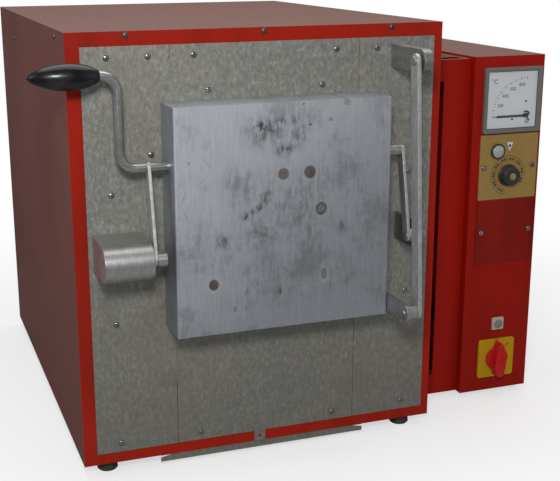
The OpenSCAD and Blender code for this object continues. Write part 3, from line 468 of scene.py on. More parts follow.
def deselect():
    if bpy.context.mode != "OBJECT":
        bpy.ops.object.mode_set(mode="OBJECT")
    bpy.ops.object.select_all(action="DESELECT")


def choose(piece):
    deselect()
    piece.select_set(True)
    bpy.context.view_layer.objects.active = piece


def settle(piece):
    """Puts the piece's place into its mesh."""
    choose(piece)
    bpy.ops.object.transform_apply(location=True, rotation=True, scale=True)


def apply_modifier(piece, kind, **settings):
    choose(piece)
    made = piece.modifiers.new(kind.title(), kind)
    for name, value in settings.items():
        setattr(made, name, value)
    bpy.ops.object.modifier_apply(modifier=made.name)


def smooth(piece, angle=32):
    choose(piece)
    bpy.ops.object.shade_smooth_by_angle(angle=math.radians(angle))


def finish_piece(piece, name, material, body, replaced=()):
    piece.name = name
    piece.data.name = name
    piece.data.materials.clear()
    piece.data.materials.append(material)
    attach(piece, body)
    if replaced:
        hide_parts(*replaced)
    return piece


def slot_of(node):
    return next(s["material_slot"] for s in frame["record"]["subparts"] if s["node"] == node)


def body_of(node):
    return frame["nodes"][node]["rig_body"]


def copy_node(node):
    """A merged copy of a CAD node's mesh, with its flat faces joined."""
    piece = bpy.data.objects.new(node + "_copy", frame["nodes"][node].data.copy())
    bpy.context.scene.collection.objects.link(piece)
    choose(piece)
    bpy.ops.object.mode_set(mode="EDIT")
    bpy.ops.mesh.select_all(action="SELECT")
    bpy.ops.mesh.remove_doubles(threshold=2e-6)
    bpy.ops.mesh.dissolve_limited(angle_limit=math.radians(0.5))
    bpy.ops.object.mode_set(mode="OBJECT")
    return piece


def round_edges(piece, edge, limit=40, box=None):
    """Bevels the sharp edges, and keeps the piece inside a box where one is given."""
    apply_modifier(piece, "BEVEL", width=edge * MM, segments=3, limit_method="ANGLE",
                   angle_limit=math.radians(limit), use_clamp_overlap=True, miter_outer="MITER_ARC")
    if box:
        for vert in piece.data.vertices:
            vert.co = [min(max(vert.co[i], box[0][i]), box[1][i]) for i in range(3)]
    smooth(piece, 40)
    apply_modifier(piece, "WEIGHTED_NORMAL", keep_sharp=True, weight=80)
    return piece


def soften(node, material, edge=0.5, limit=40):
    """Replaces a CAD node by its copy with rounded edges, no larger than the node."""
    piece = round_edges(copy_node(node), edge, limit, (low(node), high(node)))
    return finish_piece(piece, node + "_finish", material, body_of(node), (node,))


def joint_place(name):
    return Vector(next(j for j in frame["joints"] if j["name"] == name)["pos_m"])


def islands(node):
    """The middle and size of each separate solid in a CAD node."""
    mesh = frame["nodes"][node].data
    work = bmesh.new()
    work.from_mesh(mesh)
    bmesh.ops.remove_doubles(work, verts=work.verts, dist=2e-6)
    left = set(work.verts)
    found = []
    while left:
        stack = [left.pop()]
        group = []
        while stack:
            vert = stack.pop()
            group.append(vert.co.copy())
            for edge in vert.link_edges:
                other = edge.other_vert(vert)
                if other in left:
                    left.remove(other)
                    stack.append(other)
        lows = Vector(min(p[i] for p in group) for i in range(3))
        highs = Vector(max(p[i] for p in group) for i in range(3))
        found.append((lows, highs))
    work.free()
    return sorted(found, key=lambda pair: tuple(round(c, 5) for c in pair[0]))


def add_turned(profile, location, turn=(math.radians(90), 0, 0), steps=32, name="turned"):
    """A solid of revolution about its own Z from (radius, height) points in millimetres, made by spin."""
    mesh = bpy.data.meshes.new(name)
    points = [(r * MM, 0, h * MM) for r, h in profile]
    mesh.from_pydata(points, [(i, i + 1) for i in range(len(points) - 1)], [])
    piece = bpy.data.objects.new(name, mesh)
    bpy.context.scene.collection.objects.link(piece)
    choose(piece)
    bpy.ops.object.mode_set(mode="EDIT")
    bpy.ops.mesh.select_all(action="SELECT")
    bpy.ops.mesh.spin(steps=steps, angle=math.tau, center=(0, 0, 0), axis=(0, 0, 1))
    bpy.ops.mesh.select_all(action="SELECT")
    bpy.ops.mesh.remove_doubles(threshold=1e-6)
    bpy.ops.mesh.normals_make_consistent(inside=False)
    bpy.ops.object.mode_set(mode="OBJECT")
    piece.rotation_euler = turn
    piece.location = location
    settle(piece)
    return piece


def add_plate(outline, y0, y1, name="plate", holes=()):
    """A flat plate from its outline in X and Z, in metres, between two Y planes."""
    mesh = bpy.data.meshes.new(name)
    work = bmesh.new()
    loops = []
    for ring in (outline, *holes):
        verts = [work.verts.new((x, y0, z)) for x, z in ring]
        loops += [work.edges.new((verts[i - 1], verts[i])) for i in range(len(verts))]
    if holes:
        bmesh.ops.triangle_fill(work, edges=loops, use_beauty=True)
    else:
        work.faces.new(work.verts[:])
    work.to_mesh(mesh)
    work.free()
    piece = bpy.data.objects.new(name, mesh)
    bpy.context.scene.collection.objects.link(piece)
    choose(piece)
    bpy.ops.object.mode_set(mode="EDIT")
    bpy.ops.mesh.select_all(action="SELECT")
    bpy.ops.mesh.extrude_region_move(TRANSFORM_OT_translate={"value": (0, y1 - y0, 0)})
    bpy.ops.mesh.select_all(action="SELECT")
    bpy.ops.mesh.normals_make_consistent(inside=False)
    bpy.ops.object.mode_set(mode="OBJECT")
    return piece


def add_side_plate(outline, x0, x1):
    """A flat plate from its outline in Y and Z, between two X planes, all in the case's millimetres."""
    corners = [here(0, y, z) for y, z in outline]
    piece = add_plate([(c.y, c.z) for c in corners], here(x0, 0, 0).x, here(x1, 0, 0).x, "side_plate")
    piece.data.transform(Matrix(((0, 1, 0, 0), (1, 0, 0, 0), (0, 0, 1, 0), (0, 0, 0, 1))))
    piece.data.flip_normals()
    return piece


def round_bar(first, last, radius, steps=14):
    """The outline of a flat bar with round ends about two places in Y and Z."""
    way = math.atan2(last[1] - first[1], last[0] - first[0])
    return [(y + radius * math.cos(way + start + math.pi * k / steps),
             z + radius * math.sin(way + start + math.pi * k / steps))
            for (y, z), start in ((first, math.pi / 2), (last, -math.pi / 2)) for k in range(steps + 1)]


def lug_outline(pivot, radius, steps=16):
    """The outline of a block that stands on the front sheets and is round about its pivot."""
    y, z = pivot
    return [(0, z - radius)] + [(y - radius * math.cos(a), z + radius * math.sin(a))
            for a in (math.pi * (k / steps - 0.5) for k in range(steps + 1))] + [(0, z + radius)]


def add_words(text, size, location, depth=0.15, turn=0.0):
    """Flat printed characters that face -Y, with their middle at the location."""
    curve = bpy.data.curves.new("print", "FONT")
    curve.body = text
    curve.size = size * MM
    curve.align_x = "CENTER"
    curve.align_y = "CENTER"
    curve.extrude = depth * MM / 2
    curve.resolution_u = 3
    piece = bpy.data.objects.new("print", curve)
    bpy.context.scene.collection.objects.link(piece)
    choose(piece)
    bpy.ops.object.convert(target="MESH")
    piece = bpy.context.view_layer.objects.active
    piece.rotation_euler = (math.radians(90), turn, 0)
    piece.location = location
    settle(piece)
    return piece


def join(pieces):
    deselect()
    for piece in pieces:
        piece.select_set(True)
    bpy.context.view_layer.objects.active = pieces[0]
    bpy.ops.object.join()
    return pieces[0]


def circle_points(x, z, r, count=32):
    return [(x + r * math.cos(math.tau * k / count), z + r * math.sin(math.tau * k / count))
            for k in range(count)]


def arc_band(centre, r0, r1, start, end, y, thick=0.15, steps=40):
    """A printed arc band about a centre, angles in degrees from +X towards +Z."""
    outer = []
    inner = []
    for k in range(steps + 1):
        a = math.radians(start + (end - start) * k / steps)
        outer.append((centre.x + r1 * MM * math.cos(a), centre.z + r1 * MM * math.sin(a)))
        inner.append((centre.x + r0 * MM * math.cos(a), centre.z + r0 * MM * math.sin(a)))
    return add_plate(outer + inner[::-1], y, y - thick * MM, "band")


def dash(centre, r0, r1, angle, width, y, thick=0.15):
    """A printed stroke that points away from a centre."""
    a = math.radians(angle)
    out = Vector((math.cos(a), math.sin(a)))
    side = Vector((-out.y, out.x)) * width * MM / 2
    c = Vector((centre.x, centre.z))
    corners = [c + out * r0 * MM + side, c + out * r0 * MM - side, c + out * r1 * MM - side,
               c + out * r1 * MM + side]
    return add_plate([tuple(p) for p in corners], y, y - thick * MM, "dash")


def add_screw(radius, height, recess="cross"):
    """A pan head screw with its driver recess, standing on the origin and pointing along +Z."""
    rise = [(radius * math.cos(a), height * (0.35 + 0.65 * math.sin(a)))
            for a in (math.radians(90 * k / 6) for k in range(7))]
    rise[-1] = (0.0, height)
    head = add_turned([(0, 0), (radius, 0)] + rise, (0, 0, 0), (0, 0, 0), 24, "screw")
    cutters = []
    turns = (0, math.pi / 2) if recess == "cross" else (0.0,)
    for turn in turns:
        bpy.ops.mesh.primitive_cube_add(size=1, location=(0, 0, height * MM), rotation=(0, 0, turn))
        cutter = bpy.context.view_layer.objects.active
        cutter.scale = (radius * (1.15 if recess == "cross" else 2.4) * MM, radius * 0.26 * MM,
                        height * 0.9 * MM)
        settle(cutter)
        cutters.append(cutter)
    for cutter in cutters:
        apply_modifier(head, "BOOLEAN", operation="DIFFERENCE", object=cutter, solver="EXACT")
        bpy.data.objects.remove(cutter)
    smooth(head, 35)
    return head


def copies(model, places):
    """A joined set of copies of the model, each moved by its own matrix."""
    made = []
    for matrix in places:
        twin = bpy.data.objects.new("twin", model.data.copy())
        bpy.context.scene.collection.objects.link(twin)
        twin.data.transform(matrix)
        made.append(twin)
    bpy.data.objects.remove(model)
    return join(made)


# Finishes of the record's slots


def make_finishes(colors):
    dust = tuple(colors.dust)
    return {
        "case_paint": enamel("case_enamel", colors.case_red, (0.10, 0.02, 0.012), dust),
        # Painted sheen: the top and side sheets take a brown-tinted copy of the case enamel.
        "case_sheen": dull_enamel("case_enamel_sheen", colors.dull_red, (0.22, 0.16, 0.14), dust),
        "box_paint": enamel("box_enamel", colors.box_red, (0.05, 0.008, 0.005), dust, 0.4),
        "blank_paint": enamel("blank_enamel", colors.blank_red, (0.05, 0.008, 0.005), dust, 0.45),
        "zinc_sheet": stained_sheet("aluminised_sheet", colors.sheet_grey, (0.30, 0.285, 0.235),
                                    (0.46, 0.45, 0.41)),
        "door_sheet": door_sheet("door_sheet", colors.door_grey, (0.03, 0.031, 0.033),
                                 (0.085, 0.052, 0.038)),
        "steel": machined("milled_steel", colors.steel, (6, 1, 1)),
        "rod_steel": machined("drawn_steel", colors.steel, (0.5, 6, 6), 0.26),
        # Painted light: a lighter copy of the steel, for the lit fronts of the arms.
        "lit_arm_steel": machined("lit_bar_steel", shade(colors.steel, 1.4), (1, 6, 1), 0.42),
        # Painted shade: a darker copy of the steel, for the shaded faces of the blocks.
        "shaded_block_steel": machined("shaded_block", shade(colors.steel, 0.75), (6, 1, 1), 0.38),
        "frame_screw": machined("dark_screw", shade(colors.steel, 0.3), (1, 1, 1), 0.35),
        "screw_steel": machined("plated_screw", shade(colors.steel, 0.6), (1, 1, 1), 0.2),
        "fibre": fibre("fibre_board", (0.82, 0.79, 0.72), (0.62, 0.5, 0.36)),
        "hearth": fibre("hearth_slab", (0.58, 0.5, 0.39), (0.36, 0.28, 0.2)),
        "element": machined("oxidised_wire", (0.15, 0.12, 0.11), (1, 1, 1), 0.6),
        "grip_black": moulded("glossy_black", (0.004, 0.004, 0.005), 0.2, 200, 0.02, 0.12, 0.3),
        "black_plastic": moulded("black_plastic", (0.022, 0.022, 0.024), 0.42),
        "bezel_grey": moulded("bezel_grey", (0.17, 0.165, 0.15), 0.45),
        "rubber": moulded("rubber", (0.03, 0.03, 0.03), 0.75, 150, 0.2),
        "dial_white": printed("dial_card", (0.80, 0.83, 0.86), 0.55),
        "glass": glazing("meter_glass"),
        "gold_plate": plated("gold_plate", (0.46, 0.29, 0.085)),
        "brass": machined("brass", (0.62, 0.42, 0.16), (1, 1, 1), 0.3, (0.2, 0.12, 0.05)),
        "ink": printed("black_ink", (0.02, 0.02, 0.022)),
        "grey_ink": printed("grey_ink", (0.05, 0.045, 0.035)),
        "cream": moulded("cream_plastic", (0.55, 0.42, 0.33), 0.4),
        "lamp_lens": lens("lamp_lens", (0.40, 0.42, 0.40)),
        "green_lens": lens("green_lens", (0.16, 0.22, 0.17)),
        "switch_yellow": moulded("switch_yellow", (0.53, 0.30, 0.0), 0.42, 260, 0.05, 0.0, 0.15),
        "switch_red": moulded("switch_red", (0.55, 0.006, 0.006), 0.3, 260, 0.04, 0.0, 0.25),
    }


FINISHES = {}


# Settings


class KilnColors(bpy.types.PropertyGroup):
    """Colours of the painted and bare sheets"""

    case_red: FloatVectorProperty(name="Case red", description="Enamel of the front frame",
                                  default=(0.33, 0.014, 0.005), size=3, subtype="COLOR")
    # Painted sheen: the case red tinted brown for the top and the sides.
    dull_red: FloatVectorProperty(name="Sheen red", description="Enamel of the top and the sides",
                                  default=(0.20, 0.062, 0.046), size=3, subtype="COLOR")
    box_red: FloatVectorProperty(name="Box red", description="Enamel of the control box",
                                 default=(0.33, 0.008, 0.003), size=3, subtype="COLOR")
    blank_red: FloatVectorProperty(name="Blank plate", description="Enamel of the blank plate",
                                   default=(0.24, 0.010, 0.005), size=3, subtype="COLOR")
    # Painted sheen: the brown colour mixed onto upward faces.
    dust: FloatVectorProperty(name="Dust", description="Dust on the upward faces",
                              default=(0.23, 0.128, 0.103), size=3, subtype="COLOR")
    sheet_grey: FloatVectorProperty(name="Sheet grey", description="Bare front sheets",
                                    default=(0.25, 0.25, 0.228), size=3, subtype="COLOR")
    door_grey: FloatVectorProperty(name="Door grey", description="Bare sheet of the door",
                                   default=(0.335, 0.353, 0.378), size=3, subtype="COLOR")
    steel: FloatVectorProperty(name="Steel", description="Bare steel of the linkage",
                               default=(0.42, 0.42, 0.41), size=3, subtype="COLOR")


class KilnSizes(bpy.types.PropertyGroup):
    """Sizes of the small pieces that the finishing pass adds"""

    sheet_edge: FloatProperty(name="Sheet edge", description="Rounding of sheet edges", default=0.0005,
                              min=0.0001, max=0.0007, subtype="DISTANCE")
    door_edge: FloatProperty(name="Door edge", description="Rounding of the door's edges", default=0.0016,
                             min=0.0005, max=0.004, subtype="DISTANCE")
    block_edge: FloatProperty(name="Block edge", description="Rounding of milled edges", default=0.0008,
                              min=0.0001, max=0.002, subtype="DISTANCE")
    coil_turns: IntProperty(name="Coil turns", description="Turns of each heating coil",
                            default=48, min=10, max=80, subtype="UNSIGNED")
    digit_size: FloatProperty(name="Digit size", description="Height of the dial's digits", default=0.007,
                              min=0.003, max=0.01, subtype="DISTANCE")
    wire_radius: FloatProperty(name="Wire radius", description="Radius of the coil wire", default=0.0009,
                               min=0.0004, max=0.0015, subtype="DISTANCE")


def sizes():
    return bpy.context.scene.kiln_sizes


class KILN_OT_finishes(bpy.types.Operator):
    """Makes every finish and puts them on the CAD nodes"""

    bl_idname = "kiln.finishes"
    bl_label = "Finishes"
    bl_options = {"REGISTER", "UNDO"}

    def execute(self, context):
        FINISHES.update(make_finishes(context.scene.kiln_colors))
        for node, piece in frame["nodes"].items():
            piece.data.materials.clear()
            piece.data.materials.append(FINISHES[slot_of(node)])
        return {"FINISHED"}


class KILN_OT_case(bpy.types.Operator):
    """Rounds the edges of the case's sheets, apart from the slotted rear cover"""

    bl_idname = "kiln.case"
    bl_label = "Case sheets"
    bl_options = {"REGISTER", "UNDO"}

    def execute(self, context):
        edge = sizes().sheet_edge / MM
        soften("front_frame", FINISHES["case_paint"], edge)
        frame["nodes"]["rear_cover"].data.materials[0] = FINISHES["case_sheen"]
        for node in ("left_side", "right_side", "top_cover"):
            soften(node, FINISHES["case_sheen"], edge)
        for node in ("front_panel_left", "front_panel_centre", "front_panel_right", "front_tab",
                     "under_plate"):
            soften(node, FINISHES["zinc_sheet"], edge * 0.8)
        return {"FINISHED"}


class KILN_OT_screws(bpy.types.Operator):
    """Makes the screws of the front sheets, the frame and the plates"""

    bl_idname = "kiln.screws"
    bl_label = "Screws"
    bl_options = {"REGISTER", "UNDO"}

    def execute(self, context):
        rng = random.Random(4)
        for node, finish in (("panel_screws", "screw_steel"), ("frame_screws", "frame_screw")):
            places = []
            for lows, highs in islands(node):
                size = highs - lows
                thin = min(range(2), key=lambda i: size[i])
                radius = size.z / 2
                centre = (lows + highs) / 2
                outward = Vector((0, 0, 0))
                if thin == 1:
                    outward.y = 1 if centre.y > 0.2 else -1
                else:
                    outward.x = -1
                face = centre.copy()
                reach = 2.4 * MM
                face[thin] = (highs if outward[thin] > 0 else lows)[thin] - outward[thin] * reach
                turn = outward.to_track_quat("Z", "Y").to_matrix().to_4x4()
                spin = Matrix.Rotation(rng.uniform(0, math.pi), 4, "Z")
                places.append(Matrix.Translation(face) @ turn @ spin)
            model = add_screw(radius / MM, 2.4, "cross")
            piece = copies(model, places)
            smooth(piece, 35)
            finish_piece(piece, node + "_finish", FINISHES[finish], "root", (node,))
        return {"FINISHED"}


class KILN_OT_door(bpy.types.Operator):
    """Rounds the folded door and its filling"""

    bl_idname = "kiln.door"
    bl_label = "Door"
    bl_options = {"REGISTER", "UNDO"}

    def execute(self, context):
        soften("door_shell", FINISHES["door_sheet"], sizes().door_edge / MM)
        soften("door_filling", FINISHES["fibre"], 2.0)
        soften("door_pivot_tube", FINISHES["rod_steel"], 0.3)
        soften("door_lug", FINISHES["steel"], 0.4)
        return {"FINISHED"}


class KILN_OT_linkage(bpy.types.Operator):
    """Makes the guide arm and the blocks, and rounds the lever and its arms"""

    bl_idname = "kiln.linkage"
    bl_label = "Linkage"
    bl_options = {"REGISTER", "UNDO"}

    def execute(self, context):
        edge = sizes().block_edge / MM
        lever, guide, lug = (-58.0, 294.5), (-81.5, 528.0), (-107.5, 204.0)
        for node, pivot, radius, x0, x1 in (
                ("lever_bearing", lever, 23, -232, -170),
                ("lever_bracket", lever, 19, 191, 197),
                ("guide_bracket", guide, 15, 179, 191)):
            block = add_side_plate(lug_outline(pivot, radius), x0, x1)
            # The blocks other than the bearing take the darker steel, a painted shade.
            finish = FINISHES["steel" if node == "lever_bearing" else "shaded_block_steel"]
            finish_piece(round_edges(block, edge), node + "_finish", finish, "root",
                         (node,))
        arm = add_side_plate(round_bar(lug, guide, 9.5), 171, 176)
        finish_piece(round_edges(arm, edge * 0.5), "guide_arm_finish", FINISHES["lit_arm_steel"], "guide",
                     ("guide_arm",))
        pin_end = add_turned([(0, 0), (4, 0), (4, 1.2), (3.4, 1.8), (0, 1.8)], here(154.1, *lug),
                             (0, math.radians(-90), 0))
        smooth(pin_end)
        finish_piece(pin_end, "lug_pin_end", FINISHES["steel"], "door")
        # The lever's arms take the lighter steel, a painted light.
        for node in ("lever_arm_left", "lever_arm_right", "guide_pin", "lever_pins"):
            soften(node, FINISHES["lit_arm_steel" if "arm" in node else "steel"], edge * 0.5)
        soften("lever_rod", FINISHES["rod_steel"], 0.4)
        soften("lever_grip", FINISHES["grip_black"], 0.6, limit=60)
        return {"FINISHED"}


class KILN_OT_lining(bpy.types.Operator):
    """Winds the heating coils in the grooves of the chamber"""

    bl_idname = "kiln.lining"
    bl_label = "Chamber lining"
    bl_options = {"REGISTER", "UNDO"}

    def execute(self, context):
        for node in ("mouth_collar", "hearth_plate"):
            soften(node, FINISHES["hearth" if node == "hearth_plate" else "fibre"], 1.2)
        wire = sizes().wire_radius / MM
        turns = sizes().coil_turns
        steps = 10
        coils = []
        for lows, highs in islands("heating_elements"):
            centre = (lows + highs) / 2
            radius = (highs.z - lows.z) / 2 - wire * MM
            back = low("muffle_back").y
            length = back - lows.y
            curve = bpy.data.curves.new("coil", "CURVE")
            curve.dimensions = "3D"
            curve.bevel_depth = wire * MM
            curve.bevel_resolution = 1
            spline = curve.splines.new("POLY")
            count = turns * steps
            spline.points.add(count + 1)
            for k in range(count + 1):
                a = math.tau * k / steps
                along = lows.y + wire * MM + length * 0.98 * k / count
                spline.points[k].co = (centre.x + radius * math.cos(a), along,
                                       centre.z + radius * math.sin(a), 1)
            spline.points[count + 1].co = (centre.x, highs.y, centre.z, 1)
            coil = bpy.data.objects.new("coil", curve)
            bpy.context.scene.collection.objects.link(coil)
            choose(coil)
            bpy.ops.object.convert(target="MESH")
            coils.append(bpy.context.view_layer.objects.active)
        piece = join(coils)
        smooth(piece, 60)
        finish_piece(piece, "heating_coils", FINISHES["element"], "root", ("heating_elements",))
        return {"FINISHED"}


class KILN_OT_control_box(bpy.types.Operator):
    """Rounds the control box's sheets and plates"""

    bl_idname = "kiln.control_box"
    bl_label = "Control box"
    bl_options = {"REGISTER", "UNDO"}

    def execute(self, context):
        edge = sizes().sheet_edge / MM
        for node in ("control_box", "control_front", "control_rear", "box_neck"):
            soften(node, FINISHES["box_paint"], edge)
        soften("blank_plate", FINISHES["blank_paint"], edge)
        soften("regulator_plate", FINISHES["gold_plate"], edge * 0.6)
        soften("cable_gland", FINISHES["black_plastic"], edge)
        return {"FINISHED"}


class KILN_OT_meter(bpy.types.Operator):
    """Makes the meter's bezel, its printed dial and its pointer"""

    bl_idname = "kiln.meter"
    bl_label = "Meter"
    bl_options = {"REGISTER", "UNDO"}

    def execute(self, context):
        soften("meter_bezel", FINISHES["bezel_grey"], 0.7)
        face = BOX_Y - 1.2 * MM
        for node, y0, y1, finish in (("meter_dial", face, face + 0.8 * MM, "dial_white"),
                                     ("meter_glass", BOX_Y - 5.2 * MM, BOX_Y - 4.4 * MM, "glass")):
            a, b = low(node), high(node)
            sheet = add_plate([(a.x, a.z), (b.x, a.z), (b.x, b.z), (a.x, b.z)], y0, y1)
            finish_piece(sheet, node + "_finish", FINISHES[finish], "root", (node,))
        pivot = joint_place("pointer_turn")
        marks = []
        top_value = 900
        for k in range(int(top_value / 50) + 1):
            angle = 180 - 90 * k * 50 / top_value
            long = k % 2 == 0
            marks.append(dash(pivot, 53.5 if long else 55, 57.5, angle, 0.8 if long else 0.45, face))
        for number in (200, 400, 600, 800):
            angle = math.radians(180 - 90 * number / top_value)
            reach = 46.0 * MM
            place = Vector((pivot.x + reach * math.cos(angle), face, pivot.z + reach * math.sin(angle)))
            marks.append(add_words(str(number), sizes().digit_size / MM, place))
        card = middle("meter_dial")
        marks.append(add_words("°C", 9.5, Vector((card.x - 30 * MM, face, card.z + 27 * MM))))
        for x, z in ((24, -3), (2, -29)):
            centre = (card.x + x * MM, card.z + z * MM)
            marks.append(add_plate(circle_points(*centre, 1.7 * MM, 20), face, face - 0.2 * MM))
        printing = join(marks)
        finish_piece(printing, "dial_print", FINISHES["ink"], "root")
        pointer = self.pointer(pivot, face)
        finish_piece(pointer, "meter_needle", FINISHES["ink"], "pointer",
                     ("meter_pointer",))
        zero = add_turned([(0, 0), (3.6, 0), (3.6, 0.5), (3.2, 0.9), (0, 0.9)],
                          Vector((pivot.x + 3 * MM, face, pivot.z - 9 * MM)))
        finish_piece(zero, "zero_screw", FINISHES["cream"], "root")
        return {"FINISHED"}

    def pointer(self, pivot, face):
        """A stout bar with a thin tip, and a hooked tail over the pivot"""
        y0 = face - 2.2 * MM
        y1 = face - 1.5 * MM
        bar = [(-57, 0.0), (-49, 0.5), (-49, 1.5), (-6, 1.5), (-3, 3.2), (3, 3.2), (5, 1.0),
               (3, -2.6), (-3, -2.6), (-6, -1.5), (-49, -1.5), (-49, -0.5)]
        parts = [add_plate([(pivot.x + x * MM, pivot.z + z * MM) for x, z in bar], y0, y1)]
        parts.append(arc_band(pivot, 5.0, 7.2, 20, 120, y0, -0.8, 14))
        parts.append(dash(pivot, 2.0, 9.5, -52, 1.6, y0, -0.8))
        parts.append(add_turned([(0, 0), (2.6, 0), (2.6, 1.6), (0, 1.6)],
                                Vector((pivot.x, y1 + 0.6 * MM, pivot.z)), steps=20))
        return join(parts)


class KILN_OT_regulator(bpy.types.Operator):
    """Makes the regulator's printed ring, its index mark, its knob and the knob's cap"""

    bl_idname = "kiln.regulator"
    bl_label = "Regulator"
    bl_options = {"REGISTER", "UNDO"}

    def execute(self, context):
        face = low("regulator_plate").y
        axis = joint_place("knob_turn")
        marks = [arc_band(axis, 29.0, 29.7, -5, 262, face, 0.12, 60)]
        gap = 285 / 26
        for k in range(27):
            marks.append(dash(axis, 23.0, 26.6, 258 - gap * k, 3.4 if k % 3 else 1.2, face, 0.12))
        marks.append(arc_band(axis, 21.4, 21.8, -35, 262, face, 0.12, 50))
        corner = axis + Vector((1 * MM, 0, 44.5 * MM))
        marks.append(add_plate([(corner.x + x * MM, corner.z + z * MM)
                                for x, z in ((0, 3.2), (2.2, 0), (0, -3.2), (-2.2, 0))], face,
                               face - 0.12 * MM))
        ring = join(marks)
        finish_piece(ring, "regulator_print", FINISHES["grey_ink"], "root")
        white = add_plate([(corner.x + x * MM, corner.z + z * MM)
                           for x, z in ((-5, 5), (5, 5), (0, -8))], face, face - 0.06 * MM)
        finish_piece(white, "index_mark", FINISHES["dial_white"], "root")
        knob = soften("regulator_knob", FINISHES["black_plastic"], 0.5)
        foot = Vector((axis.x, high("regulator_knob").y, axis.z))
        narrower = 0.87
        lower = 0.84
        knob.data.transform(Matrix.Translation(foot)
                            @ Matrix.Diagonal((narrower, lower, narrower, 1))
                            @ Matrix.Translation(-foot))
        tip = foot.y - (foot.y - low("regulator_knob").y) * lower
        cap = add_turned([(0, 0), (5.2, 0), (5.2, 0.7), (4.2, 1.1), (2.4, 1.1), (1.8, 0.5), (0, 0.5)],
                         Vector((axis.x, tip, axis.z)))
        smooth(cap)
        finish_piece(cap, "knob_cap", FINISHES["brass"], "knob")
        return {"FINISHED"}


class KILN_OT_lamps(bpy.types.Operator):
    """Makes the round lamp on the regulator and the square one over the switch"""

    bl_idname = "kiln.lamps"
    bl_label = "Lamps"
    bl_options = {"REGISTER", "UNDO"}

    def execute(self, context):
        pair = islands("pilot_lamps")
        upper = max(pair, key=lambda p: p[0].z)
        lower = min(pair, key=lambda p: p[0].z)
        face = low("regulator_plate").y
        centre = (upper[0] + upper[1]) / 2
        radius = (upper[1].x - upper[0].x) / 2 / MM
        rim = add_turned([(radius - 2.2, 0), (radius, 0), (radius, 2.6), (radius - 0.8, 3.4),
                          (radius - 2.0, 3.0), (radius - 2.2, 0)], Vector((centre.x, face, centre.z)))
        smooth(rim)
        finish_piece(rim, "lamp_rim", FINISHES["black_plastic"], "root")
        dome = [((radius - 2) * math.cos(a), 2.6 + 2.6 * math.sin(a))
                for a in (math.radians(90 * k / 8) for k in range(8))]
        glass = add_turned([(0, 0.4), (radius - 2, 0.4)] + dome + [(0, 5.2)],
                           Vector((centre.x, face, centre.z)))
        smooth(glass)
        finish_piece(glass, "round_lens", FINISHES["lamp_lens"], "root", ("pilot_lamps",))
        middle_low = (lower[0] + lower[1]) / 2
        half = (lower[1].x - lower[0].x) / 2
        front = BOX_Y - 5 * MM
        corners = [(middle_low.x + sx * half, middle_low.z + sz * half)
                   for sx, sz in ((-1, -1), (1, -1), (1, 1), (-1, 1))]
        bezel = add_plate(corners, BOX_Y, front, "bezel")
        apply_modifier(bezel, "BEVEL", width=0.9 * MM, segments=3)
        smooth(bezel)
        finish_piece(bezel, "square_lamp_bezel", FINISHES["cream"], "root")
        size = half / MM * 0.7
        lens_piece = add_turned([(0, 0), (size, 0), (size, 0.8), (size * 0.8, 1.7), (0, 2.0)],
                                Vector((middle_low.x, front, middle_low.z)))
        smooth(lens_piece)
        finish_piece(lens_piece, "square_lamp_lens", FINISHES["green_lens"], "root")
        return {"FINISHED"}


class KILN_OT_switch(bpy.types.Operator):
    """Makes the main switch's plate, its two marks and its handle"""

    bl_idname = "kiln.switch"
    bl_label = "Main switch"
    bl_options = {"REGISTER", "UNDO"}

    def execute(self, context):
        soften("switch_body", FINISHES["switch_yellow"], 0.6)
        axis = joint_place("switch_turn")
        face = BOX_Y - 4 * MM
        off = Vector((axis.x - 1 * MM, 0, axis.z + 27.3 * MM))
        ring = arc_band(off, 2.2, 3.1, 0, 360, face, 0.15, 32)
        stroke = dash(axis, 25, 30.5, 47, 1.5, face)
        marks = join([ring, stroke])
        finish_piece(marks, "switch_print", FINISHES["ink"], "root")
        soften("switch_handle", FINISHES["switch_red"], 1.2)
        return {"FINISHED"}


